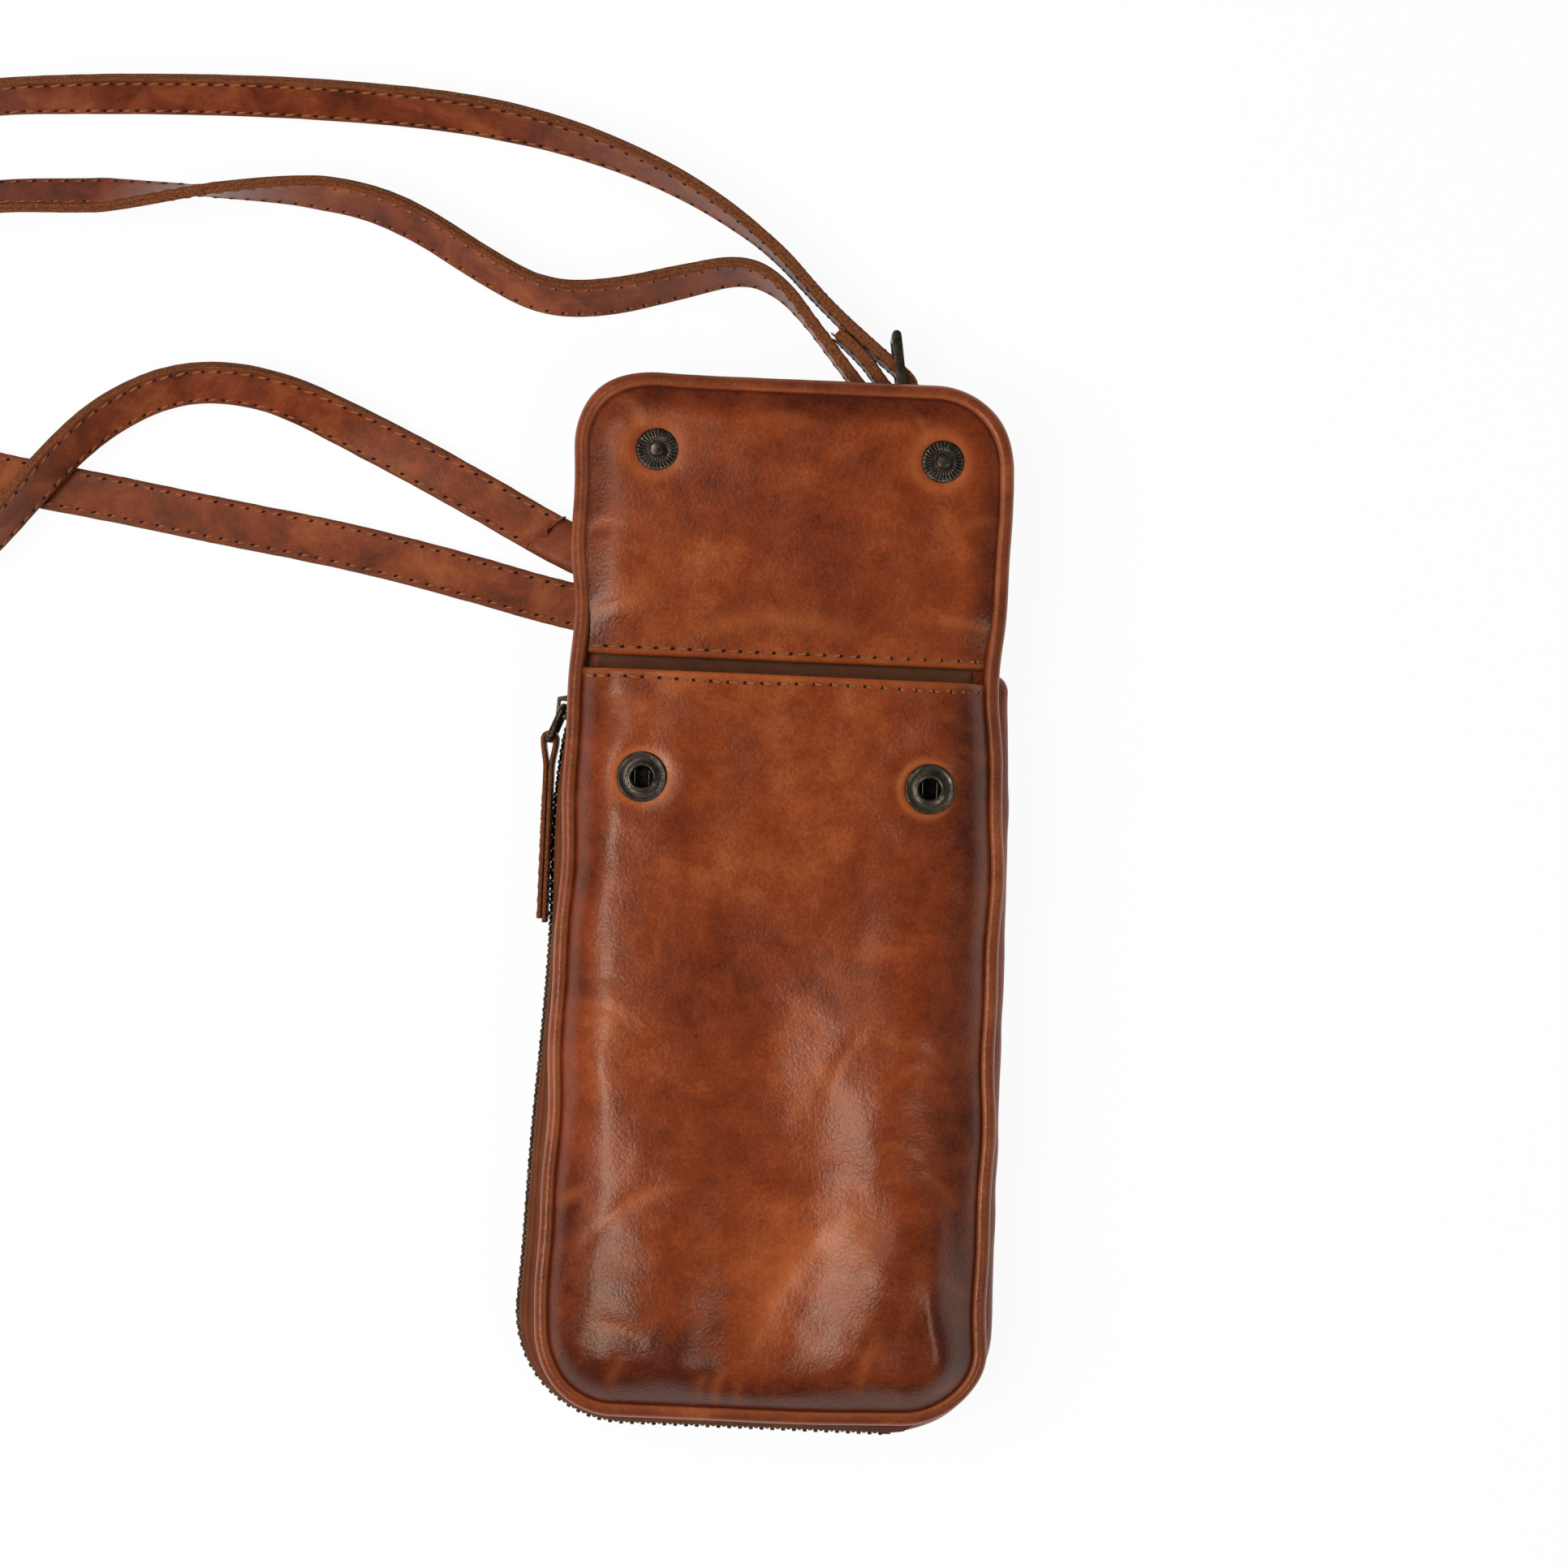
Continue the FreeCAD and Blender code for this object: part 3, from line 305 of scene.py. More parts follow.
# %% Socket class
class Value:
    def __init__(self, socket):
        self.socket = socket

    def node(self, kind, settings=None, sockets=None, out=0):
        tree = self.socket.id_data
        made = tree.nodes.new(kind)
        for key, setting in (settings or {}).items():
            if key == "stops":
                ramp = made.color_ramp
                while len(ramp.elements) < len(setting):
                    ramp.elements.new(0.5)
                for element, (place, colour) in zip(ramp.elements, setting):
                    element.position = place
                    element.color = colour
            else:
                setattr(made, key, setting)
        for key, given in (sockets or {}).items():
            if isinstance(given, Value):
                tree.links.new(given.socket, made.inputs[key])
            else:
                made.inputs[key].default_value = given
        return Value(made.outputs[out])

    def sum(self, operation, first, second):
        return self.node("ShaderNodeMath", {"operation": operation}, {0: first, 1: second})

    def __add__(self, other):
        return self.sum("ADD", self, other)

    def __radd__(self, other):
        return self.sum("ADD", other, self)

    def __sub__(self, other):
        return self.sum("SUBTRACT", self, other)

    def __rsub__(self, other):
        return self.sum("SUBTRACT", other, self)

    def __mul__(self, other):
        return self.sum("MULTIPLY", self, other)

    def __rmul__(self, other):
        return self.sum("MULTIPLY", other, self)

    def within(self, low, high):
        """0 below low, 1 above high and smooth between."""
        return self.node("ShaderNodeMapRange", {"interpolation_type": "SMOOTHSTEP"},
                         {"Value": self, "From Min": low, "From Max": high})

    def noise(self, size, detail=3.0, roughness=0.5, distortion=0.0):
        """Soft noise with a feature size in millimetres, about 0.5."""
        sockets = {"Vector": self, "Scale": 1.0 / (size * MM), "Detail": detail}
        sockets.update({"Roughness": roughness, "Distortion": distortion})
        return self.node("ShaderNodeTexNoise", None, sockets)

    def cells(self, size, feature="F1"):
        sockets = {"Vector": self, "Scale": 1.0 / (size * MM)}
        return self.node("ShaderNodeTexVoronoi", {"feature": feature}, sockets)

    def blend(self, first, second):
        """A colour from first to second as this value goes from 0 to 1."""
        settings = {"data_type": "RGBA", "clamp_factor": True}
        return self.node("ShaderNodeMix", settings, {0: self, 6: first, 7: second}, 2)

    def ramp(self, *stops):
        """A colour that runs through stops of (place, colour)."""
        return self.node("ShaderNodeValToRGB", {"stops": stops}, {"Fac": self})

    def stretch(self, x, y, z):
        """The same place in a space that is longer one way than another."""
        return self.node("ShaderNodeMapping", None, {"Vector": self, "Scale": (x, y, z)})

    def bump(self, distance, strength):
        sockets = {"Height": self, "Distance": distance * MM, "Strength": strength}
        return self.node("ShaderNodeBump", None, sockets)


def shade(red, green, blue):
    """A colour from screen values, in the linear numbers that shaders use."""
    values = [v / 255.0 for v in (red, green, blue)]
    linear = [v / 12.92 if v <= 0.04045 else ((v + 0.055) / 1.055) ** 2.4 for v in values]
    return (*linear, 1.0)


class Finish:
    """A material, its shader, the place on the piece, and its values by name."""

    def __init__(self, name, **constants):
        self.material = bpy.data.materials.new(name)
        self.material.use_nodes = True
        self.tree = self.material.node_tree
        self.shader = self.tree.nodes["Principled BSDF"]
        for key, constant in constants.items():
            self.shader.inputs[key.replace("_", " ")].default_value = constant
        self.place = Value(self.tree.nodes.new("ShaderNodeTexCoord").outputs["Object"])

    def value(self, name):
        return self.place.node("ShaderNodeAttribute", {"attribute_name": name}, None, 2)

    def feed(self, **inputs):
        for key, given in inputs.items():
            self.tree.links.new(given.socket, self.shader.inputs[key.replace("_", " ")])
        return self.material


print("shader sums ready")

# %% [markdown]
# ## Stage and light
# The floor is a plain white sweep. It is lit like paper and also glows softly where the camera sees
# it, so it comes out white and keeps a faint shadow. A large soft box on the left gives the shading,
# and two smaller ones higher up draw the broad highlights on pocket and flap. Weak boxes fill the right
# side and the far end, and a small one catches the near right corner. The three high ones are mirrored
# in the gloss, and the others stand behind cloth. The backdrop is white where it is seen or mirrored
# near the floor, and the studio above it is dim. The powers add up to a level at which a grey card comes
# out nearly as it is written.

# %% Stage and light
def ray_kinds(tree):
    """Whether a ray comes from the camera, and whether it was mirrored or passed through something."""
    rays = tree.nodes.new("ShaderNodeLightPath").outputs
    return Value(rays["Is Camera Ray"]), Value(rays["Is Glossy Ray"]) + Value(rays["Is Transmission Ray"])


white = (1.0, 1.0, 1.0, 1.0)
glow_share, dim, floor_half = 0.93, 0.17, 9000
paper = Finish("white_paper", Roughness=0.9)
paper.feed(Base_Color=paper.place.noise(60.0).blend((0.86, 0.86, 0.86, 1.0), (0.9, 0.9, 0.9, 1.0)))
camera_ray, mirrored_ray = ray_kinds(paper.tree)
seen = camera_ray.sum("MINIMUM", camera_ray + mirrored_ray, 1.0)
glow = paper.place.node("ShaderNodeEmission", None, {"Color": white})
surfaces = {0: seen * glow_share, 1: Value(paper.shader.outputs[0]), 2: glow}
paper_mix = paper.place.node("ShaderNodeMixShader", None, surfaces)
paper.tree.links.new(paper_mix.socket, paper.tree.nodes["Material Output"].inputs["Surface"])
floor_corners = [(x * floor_half, y * floor_half, 0) for x, y in ((-1, -1), (1, -1), (1, 1), (-1, 1))]
floor = new_piece("floor", floor_corners, [(0, 1, 2, 3)])
floor.data.materials.append(paper.material)

world = bpy.data.worlds.new("studio")
scene.world = world
world.use_nodes = True
background = world.node_tree.nodes["Background"].inputs
background["Color"].default_value = white
camera_ray, mirrored_ray = ray_kinds(world.node_tree)
heading = Value(world.node_tree.nodes.new("ShaderNodeTexCoord").outputs["Object"])
backdrop = 1.0 - heading.node("ShaderNodeSeparateXYZ", None, {"Vector": heading}, 2).within(0.04, 0.14)
studio_light = dim + (camera_ray + mirrored_ray * backdrop) * (1.0 - dim)
world.node_tree.links.new(studio_light.socket, background["Strength"])

soft_boxes = (  # name, place, target, width, height, power, whether it is mirrored in the gloss
    ("left_box", (-1.0, 0.0, 1.0), (0.0, -0.03, 0.0), 1.2, 0.9, 14.0, False),
    ("left_strip", (-0.62, -0.27, 1.2), (0.0, -0.06, 0.0), 0.54, 0.36, 5.8, True),
    ("flap_strip", (-0.42, 0.36, 1.3), (0.0, 0.1, 0.0), 0.26, 0.34, 1.5, True),
    ("right_box", (0.95, 0.1, 0.8), (0.0, 0.0, 0.0), 1.0, 0.5, 2.8, False),
    ("corner_box", (0.72, -0.6, 1.15), (0.03, -0.1, 0.0), 0.4, 0.4, 2.8, True),
    ("top_box", (0.0, 1.1, 0.9), (0.0, 0.05, 0.0), 1.0, 0.4, 1.6, False))
for name, place, target, width, height, power, mirrored in soft_boxes:
    light = bpy.data.lights.new(name, "AREA")
    light.shape = "RECTANGLE"
    light.size = width
    light.size_y = height
    light.energy = power
    lamp = new_object(name, light)
    lamp.location = place
    lamp.rotation_euler = (Vector(target) - Vector(place)).to_track_quat("-Z", "Y").to_euler()
    lamp.visible_glossy = mirrored
print("stage set with", len(soft_boxes), "soft boxes")

# %% [markdown]
# ## Waxed leather
# Cognac leather of this kind is dyed, waxed and rubbed, so its colour drifts from dark red brown to
# pale orange brown over a few centimetres, and it pales where it is folded or rubbed. Three sizes of
# noise give the drift. A piece can add a value that darkens or lightens the colour, which on pocket,
# flap and piping also paints shade and highlights, and a "wear" value at its points. The grain is fine
# pebbles with shallow wrinkles between them, and the wax makes the gloss uneven.

# %% Leather
def leather(name, dark, middle, pale, edge):
    gloss_tint = (1.0, 0.78, 0.58, 1.0)
    made = Finish(name, Coat_Roughness=0.2, Specular_IOR_Level=0.42, Specular_Tint=gloss_tint)
    place = made.place
    # The first value darkens or lightens the colour: partly the hide's own colour, partly painted light and
    # shade.
    tone, wear = made.value("tone"), made.value("wear")
    drift = place.noise(34.0, 4.0, 0.55, 0.6)
    cloud = place.noise(7.0, 5.0, 0.62, 0.3)
    speck = place.noise(0.9, 3.0, 0.6)
    plates = place.cells(1.9, "DISTANCE_TO_EDGE").within(0.0, 0.16)
    depth = 0.46 + (drift - 0.5) * 1.25 + (cloud - 0.5) * 0.75 + (speck - 0.5) * 0.55 + tone
    rubbed = wear + (cloud - 0.5) * 0.6 * wear
    colour = rubbed.blend(depth.ramp((0.0, dark), (0.5, middle), (1.0, pale)), edge)
    spots = place.cells(19.0).within(0.02, 0.05)
    colour = (0.75 - spots * 0.75).blend(colour, shade(46, 20, 12))
    pebble = place.cells(0.8, "SMOOTH_F1")
    wrinkle = place.noise(1.7, 2.0, 0.5, 1.0)
    stretch = place.stretch(0.3, 1.0, 1.0).noise(2.6, 1.0, 0.5, 0.8)
    height = (1.0 - pebble) * 0.6 + wrinkle * 0.4 + plates * 0.2 + stretch * 0.35
    rough_wax = 0.31 + (cloud - 0.5) * 0.16 + (speck - 0.5) * 0.14
    waxed = 0.06 + (drift - 0.5) * 0.14
    return made.feed(Base_Color=colour, Roughness=rough_wax, Coat_Weight=waxed, Normal=height.bump(0.17, 0.5))


cognac = leather("cognac_leather", shade(68, 20, 6), shade(117, 46, 14), shade(154, 76, 32),
                 shade(172, 92, 46))
piping_finish = leather("piping_leather", shade(70, 25, 10), shade(112, 49, 23), shade(146, 76, 40),
                        shade(168, 96, 54))
print("leather finishes made")

# %% [markdown]
# ## Strap leather
# The strap is the same hide, split thinner. Its cut edges are raw, so they are matt, fibrous and
# browner than the face. The "raw" value that the strap's mesh carries mixes the two.

# %% Strap leather
def strap_leather(name, dark, middle, pale):
    made = Finish(name, Specular_IOR_Level=0.3, Specular_Tint=(1.0, 0.8, 0.62, 1.0))
    place = made.place
    raw, side = made.value("raw"), made.value("side")
    cloud = place.noise(11.0, 4.0, 0.6, 0.4)
    speck = place.noise(1.0, 3.0, 0.7)
    depth = 0.5 + (cloud - 0.5) * 1.5 + (speck - 0.5) * 0.4
    rim = (side * side).within(0.6, 0.95)
    face = (rim * 0.35).blend(depth.ramp((0.15, dark), (0.5, middle), (0.9, pale)), dark)
    fibre = place.noise(0.45, 4.0, 0.8)
    edge = fibre.within(0.36, 0.66).blend(shade(62, 30, 16), shade(136, 80, 46))
    pebble = place.cells(0.6, "SMOOTH_F1")
    height = (1.0 - pebble) * 0.5 + speck * 0.6 + raw * fibre * 2.4
    gloss = 0.42 + (cloud - 0.5) * 0.2 + raw * 0.4
    return made.feed(Base_Color=raw.blend(face, edge), Roughness=gloss, Normal=height.bump(0.12, 0.6))


strap_finish = strap_leather("strap_leather", shade(70, 25, 10), shade(110, 46, 20), shade(142, 74, 38))
print("strap leather made")

# %% [markdown]
# ## Cloth, thread and metal
# The linings are suede: matt, with a nap that is brushed in streaks. Zip tape is a ribbed weave.
# Thread is twisted, so its colour changes finely along each stitch. The metal is brass with a dark
# antique plating that is worn through in places, and the springs inside the snaps are plain steel.

# %% Cloth, thread and metal
def suede(name, dark, pale):
    made = Finish(name, Roughness=0.95, Specular_IOR_Level=0.15, Sheen_Weight=0.3)
    nap = made.place.noise(0.35, 4.0, 0.75)
    brushed = made.place.noise(14.0, 4.0, 0.6, 1.2)
    colour = ((nap - 0.5) * 0.9 + (brushed - 0.5) * 0.9 + 0.5).blend(dark, pale)
    return made.feed(Base_Color=colour, Normal=(nap + brushed).bump(0.15, 0.6))


def weave(name, dark, pale):
    made = Finish(name, Roughness=0.85, Specular_IOR_Level=0.25)
    bands = {"Vector": made.place, "Scale": 320.0, "Distortion": 0.6, "Detail": 1.0, "Detail Scale": 3.0}
    ribs = made.place.node("ShaderNodeTexWave", {"wave_type": "BANDS", "bands_direction": "Z"}, bands, 1)
    yarn = made.place.noise(0.5, 3.0, 0.7)
    faded = made.place.noise(16.0, 3.0, 0.6)
    colour = (yarn * 0.5 + ribs * 0.25 + (faded - 0.5) * 0.8).blend(dark, pale)
    return made.feed(Base_Color=colour, Normal=(ribs * 0.7 + yarn * 0.6).bump(0.22, 0.7))


def metal(name, dark, worn, rough_low, rough_high):
    made = Finish(name, Metallic=1.0)
    stain = made.place.noise(3.4, 4.0, 0.65, 0.5)
    fine = made.place.noise(0.5, 3.0, 0.7)
    rub = (stain * 0.7 + fine * 0.4).within(0.42, 0.72)
    gloss = rough_low + (rough_high - rough_low) * (1.0 - rub) + (fine - 0.5) * 0.15
    pitted = (fine + stain).bump(0.03, 0.35)
    return made.feed(Base_Color=rub.blend(dark, worn), Roughness=gloss, Normal=pitted)


def yarn(name, dark, pale):
    made = Finish(name, Roughness=0.8, Specular_IOR_Level=0.3)
    twist = made.place.noise(0.4, 3.0, 0.7)
    aged = made.place.noise(20.0, 2.0, 0.5)
    colour = (twist * 0.7 + aged * 0.5 - 0.1).blend(dark, pale)
    return made.feed(Base_Color=colour, Normal=twist.bump(0.1, 0.6))


lining_finish = suede("suede_lining", shade(58, 32, 18), shade(112, 66, 40))
tape_finish = weave("zip_tape", shade(64, 30, 16), shade(128, 68, 38))
antique = metal("antique_metal", shade(64, 55, 42), shade(126, 110, 84), 0.3, 0.48)
gunmetal = metal("gunmetal", shade(54, 48, 42), shade(112, 101, 88), 0.24, 0.44)
# Near-black metal for the snaps' plates: painted shade in the socket's hole, through which a plate is seen.
plate_hole_shade = metal("plate_hole_shade_metal", shade(16, 14, 13), shade(44, 40, 36), 0.4, 0.6)
steel = metal("spring_steel", shade(60, 57, 53), shade(112, 108, 101), 0.24, 0.4)
thread = yarn("brown_thread", shade(92, 48, 22), shade(166, 104, 58))
# Needle holes are near-black beads: painted shade in the holes between the stitches.
hole_shade_beads = yarn("needle_hole_shade", shade(20, 9, 5), shade(40, 18, 9))
print("materials:", len(bpy.data.materials))

# %% [markdown]
# ## Dressing a piece
# A finished piece gets its material and the body that it moves with, and the solids that it stands
# for are hidden. Leather across the flap's fold moves with no body; its place is written into its mesh.

# %% Dress
BEND = "bend"  # in place of a body, for leather across the fold


def dress(obj, finish, body, slot, *replaced):
    obj.data.materials.clear()
    obj.data.materials.append(finish)
    if body != BEND:
        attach(obj, body)
    if replaced:
        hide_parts(*replaced)
    if body == BEND:
        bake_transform(obj)
    return obj


strap_nodes = [name for name in nodes if name.startswith("strap_")]
strap_nodes = [name for name in strap_nodes if "ring" not in name and name != "strap_adjuster"]
dress(strap, strap_finish, "pouch", "strap_leather", *strap_nodes)
print("the strap stands for", len(strap_nodes), "solids")

# %% [markdown]
# ## Outlines
# The pocket and the open flap share one outline with rounded corners, slightly narrower towards the
# tip. The rear compartment has its own, which stands out on the left where the zip is. One function
# draws any of them in by a distance, with the same number of points each time, so that two outlines
# can be joined point to point.

# %% Outlines
def outline(corners, distance, arc=20, run=48):
    """Points round an outline, from the left side's lower end, anticlockwise."""
    spots = np.array([corner[:2] for corner in corners], float)
    ahead = unit(np.roll(spots, -1, axis=0) - spots)
    starts = spots + np.column_stack([-ahead[:, 1], ahead[:, 0]]) * distance
    moved = []
    for index in range(len(spots)):
        p, u, q, v = starts[index - 1], ahead[index - 1], starts[index], ahead[index]
        gap = q - p
        moved.append(p + u * (gap[0] * v[1] - gap[1] * v[0]) / (u[0] * v[1] - u[1] * v[0]))
    arcs = []
    for index, here in enumerate(moved):
        back, forth = -ahead[index - 1], ahead[index]
        radius = max(corners[index][2] - distance, 0.1)
        half = math.acos(np.dot(back, forth)) / 2
        middle = back + forth
        centre = here + middle / np.linalg.norm(middle) * radius / math.sin(half)
        first = here + back * radius / math.tan(half) - centre
        turn = np.linspace(0.0, math.pi - 2 * half, arc + 1)[:, None]
        arcs.append(centre + first * np.cos(turn) + np.array([-first[1], first[0]]) * np.sin(turn))
    points = []
    for index, bend in enumerate(arcs):
        follower = arcs[(index + 1) % len(arcs)]
        between = np.linspace(0.0, 1.0, run + 1)[1:-1, None]
        points += [bend, bend[-1] + (follower[0] - bend[-1]) * between]
    return np.concatenate(points)


pouch_corners = ((-61, -139, 22), (61, -139, 22), (58, 139, 22), (-58, 139, 22))
rear_corners = ((-68.3, -141.5, 30), (62.5, -141.5, 28), (61, 63, 5), (-55.9, 63, 5))
seam_corners = ((-61, -139, 22), (61, -139, 22), (58.8, 63, 5), (-58.8, 63, 5))


def swollen(points):
    """The zip's side stands out where its tape is slack, and the gusset's side is drawn in at the top."""
    points = np.array(points, float)
    x, y = points[..., 0].copy(), points[..., 1]
    slack = 3.0 * hump(y, 27.0, 32.0) * smooth_step(58.0, 40.0, y) - 1.0 * hump(y, -105.0, 28.0)
    points[..., 0] -= np.where(x < -40, slack, 0.0)
    points[..., 0] -= smooth_step(20.0, 54.0, x) * (0.9 + 1.6 * hump(y, 58.0, 26.0))
    return points


def drifted(points):
    """Pocket and flap aren't quite straight: a waist on the right at the mouth, a fuller tip on the left."""
    points = np.array(points, float)
    x, y = points[..., 0].copy(), points[..., 1].copy()
    right, left = smooth_step(8.0, 52.0, x), smooth_step(-8.0, -52.0, x)
    corner = 1.7 * hump(x, -54.0, 14.0) * hump(y, 134.0, 14.0)
    waist = right * (0.8 + 2.4 * hump(y, 64.0, 22.0))
    wave = 0.35 * np.sin(y / 11.0 + 1.0) + 0.25 * np.sin(y / 5.3)
    points[..., 0] -= waist + left * 1.2 * smooth_step(72.0, 96.0, y) + corner
    points[..., 0] += (right + left) * wave * smooth_step(139.0, 120.0, abs(y))
    points[..., 1] += corner + right * 1.1 * smooth_step(-100.0, -134.0, y)
    return points


outline_steps = np.linalg.norm(np.diff(outline(pouch_corners, 0), axis=0), axis=1)
print("outline length:", round(float(outline_steps.sum())), "mm")

# %% [markdown]
# ## Sheets inside the outline
# Panels, facing and linings are all grids that fill the outline up to a seam. Their rows lie closer where
# the corners turn and their columns closer near the sides, because the leather rolls down to the piping
# there.

# %% Sheet grids
no_end = 400.0  # far beyond the outline, for an end that isn't rounded


def half_width(y):
    """Half the width of pocket and flap, which narrow evenly towards the flap's tip."""
    (wide, low, _), (narrow, high, _) = pouch_corners[1:3]
    return wide + (narrow - wide) * (np.asarray(y, float) - low) / (high - low)


def edge_distance(x, y, low, high, inset, radius):
    """How far a point is inside the outline, with rounded corners at either end."""
    side = half_width(y) - inset - abs(x)
    ends = np.minimum(y - low, high - y)
    corner = radius - np.hypot(np.maximum(radius - side, 0), np.maximum(radius - ends, 0))
    inside = np.where((side < radius) & (ends < radius), corner, np.minimum(side, ends))
    return np.maximum(inside, 0.0)


def fill_rows(rows, low, high, inset, radius, count, gather=0.8):
    """X and Y of a grid over rows of Y, as wide as the outline, which is rounded at low and high."""
    drop = np.clip(radius - np.minimum(rows - low, high - rows), 0.0, radius)
    half = half_width(rows) - inset - radius + np.sqrt(radius ** 2 - drop ** 2)
    across = np.sin(np.linspace(-1.0, 1.0, count) * math.pi / 2 * gather) / math.sin(math.pi / 2 * gather)
    return np.broadcast_arrays(half[:, None] * across, rows[:, None])


def sheet_grid(low, high, inset, radius, step, count, gather=0.8, low_round=True, high_round=True):
    """X and Y of a grid between two places along Y, each a rounded end or a straight edge."""
    arc = radius * (1.0 - np.cos(np.linspace(0.0, math.pi / 2, 19)))
    first = low + arc if low_round else np.array([low])
    last = (high - arc)[::-1] if high_round else np.array([high])
    steps = int((last[0] - first[-1]) / step) + 2
    rows = np.concatenate([first, np.linspace(first[-1], last[0], steps)[1:-1], last])
    low_end = low if low_round else -no_end
    high_end = high if high_round else no_end
    return fill_rows(rows, low_end, high_end, inset, radius, count, gather)


def sheet(name, x, y, z, wall, cut=None, **values):
    """A sheet over a grid with its wall, without the faces at points that cut marks."""
    faces = np.array(grid_faces(*x.shape))
    if cut is not None:
        faces = faces[~cut.ravel()[faces].any(axis=1)]
    obj = new_piece(name, drifted(places(x, y, z)), faces)
    set_values(obj, **values)
    thicken(obj, wall)
    print(name, len(obj.data.polygons), "faces")
    return obj


def spot_gap(x, y, spots):
    """How far each point is from the nearest of some spots."""
    return np.min([np.hypot(x - sx, y - sy) for sx, sy in spots], axis=0)


print("half width in the middle:", half_width(0.0), "mm")

# %% [markdown]
# ## Front panel
# The front of the pocket is one piece of leather, drawn up from the piping into a crown. Where
# nothing fills it, the lower half has sunk between two soft lobes. A grid follows the outline, with its
# points closer near the edges. Its height is the crown plus lobes, a hollow, creases and the dimples
# that the snaps pull in, and the same creases mark where the wax has paled.

# %% Front panel shape
snap_x, socket_y, stud_y, socket_hole = 38.0, 31.5, 118.5, 4.0
socket_spots = ((-snap_x, socket_y), (snap_x, socket_y))
panel_low, panel_mouth, panel_inset, panel_radius = -135.5, 60.0, 3.5, 18.5
base_z, crown_rise = 22.3, 8.7
panel_creases = (
    (-52, -97, -23, -74, 0.45, 2.2), (-56, -30, -40, -31, 0.35, 1.6), (-57, -22, -38, -24, 0.25, 1.4),
    (-4, -121, 22, -80, 0.5, 3.0), (-12, -134, -9, -122, 0.6, 1.6), (-16, -133, -14, -124, 0.4, 1.4),
    (-6, -134, -4, -125, 0.35, 1.4), (26, -35, 46, -40, 0.35, 1.4), (30, -47, 42, -42, 0.3, 1.3),
    (28, -62, 42, -68, 0.3, 1.3), (40, -70, 52, -80, 0.35, 1.5), (44, -96, 56, -104, 0.3, 1.4),
    (-56, -84, -44, -76, 0.4, 1.6), (-57, 24, -47, 27, 0.2, 1.2), (-30, 23, -18, 28, 0.22, 1.3),
    (40, 50, 54, 47, 0.2, 1.2), (44, 42, 56, 39, 0.2, 1.2), (-52, 53, -38, 50, 0.18, 1.2),
    (26, -128, 33, -112, 0.4, 1.8), (-40, -132, -36, -120, 0.35, 1.6), (14, -52, 26, -30, 0.2, 1.6),
    (-46, -112, -30, -118, 0.3, 2.0))


def crease_field(x, y, creases):
    """How near each point is to the crease lines, with their depths."""
    field = np.zeros_like(x)
    for x0, y0, x1, y1, depth, width in creases:
        run_x, run_y = x1 - x0, y1 - y0
        length = math.hypot(run_x, run_y)
        reach = np.clip(((x - x0) * run_x + (y - y0) * run_y) / length ** 2, 0, 1)
        arch = np.sin(reach * math.pi)
        gap = np.hypot(x - x0 - run_x * reach + 0.08 * arch * run_y,
                       y - y0 - run_y * reach - 0.08 * arch * run_x)
        field += depth * arch ** 0.5 * hump(gap, 0.0, width)
    return field


def lump(x, y, x0, y0, wide, long, lean=0.0):
    """A soft round rise at a place, wider one way than the other."""
    turn = math.radians(lean)
    dx = (x - x0) * math.cos(turn) + (y - y0) * math.sin(turn)
    dy = (y - y0) * math.cos(turn) - (x - x0) * math.sin(turn)
    return np.exp(-(dx / wide) ** 2 - (dy / long) ** 2)


def lumps(x, y, table):
    return sum(rise * lump(x, y, *place) for *place, rise in table)


section_x = np.linspace(-60.0, 60.0, 481)
section_z = np.interp(section_x, (-60, -50, -28, -6, 30, 46, 60), (-3.2, -1.4, 3.3, -1.5, 3.8, 0.6, -2.4))
for _ in range(2):
    section_z = np.convolve(np.pad(section_z, 26, mode="edge"), np.ones(53) / 53, mode="valid")
lobes = (  # x, y, half width, half length, lean, rise
    (-40, -100, 16, 22, 12, 1.2), (36, -30, 17, 30, 0, 1.5), (42, -99, 17, 16, 0, 2.8),
    (57, -118, 12, 18, 0, 4.2), (-55, -50, 14, 19, 0, 1.8), (12, -112, 16, 12, -35, -0.8))
slack_corners = ((50, -122, 20, 20, 0, 0.85), (-51, -124, 18, 20, 0, 0.8))


def panel_relief(x, y):
    """Lobes and hollow of the sunken lower half, and the pull of the snaps."""
    leftward = smooth_step(4.0, -20.0, x)
    low = (1.0 - leftward) * smooth_step(2.0, -46.0, y) + leftward * smooth_step(8.0, -98.0, y)
    low = low * (1.0 - lumps(x, y, slack_corners))
    sway = rough(places(0.0 * x, y), 26.0, 14)
    shift = 3.0 * sway - 9.0 * lump(x, y, 12, -72, 22, 20) * smooth_step(-12.0, 4.0, x)
    relief = low * (1.0 + 0.16 * sway) * np.interp(x + shift + 0.03 * (y + 60.0), section_x, section_z)
    relief += lumps(x, y, lobes)
    for spot in socket_spots:
        gap = spot_gap(x, y, [spot])
        relief += 0.45 * hump(gap, 11.5, 4.5) - 0.5 * np.exp(-(gap / 7.0) ** 4)
    return relief


def crown_height(x, y, edge):
    """Height of the panel by the distance from its edge: a roll that is longer below and on the right."""
    right = smooth_step(10.0, 50.0, x) * (1.0 - lump(x, y, 48.0, -118.0, 22.0, 22.0))
    run = 18.0 + smooth_step(6.0, -50.0, y) * (2.0 + 4.0 * right) + 1.5 * rough(places(x, y), 24.0, 13)
    return base_z + crown_rise * (1.0 - (1.0 - np.clip(edge / run, 0.0, 1.0)) ** 3.5)


print("relief of the panel's middle:", panel_relief(np.zeros(1), np.zeros(1)).round(2), "mm")

# %% [markdown]
# ## The panel's grid
# Rows lie closer round the lower corners and at the lip of the mouth, where the leather turns over. The
# crown, the relief, soft ripples and the creases add up to the height.

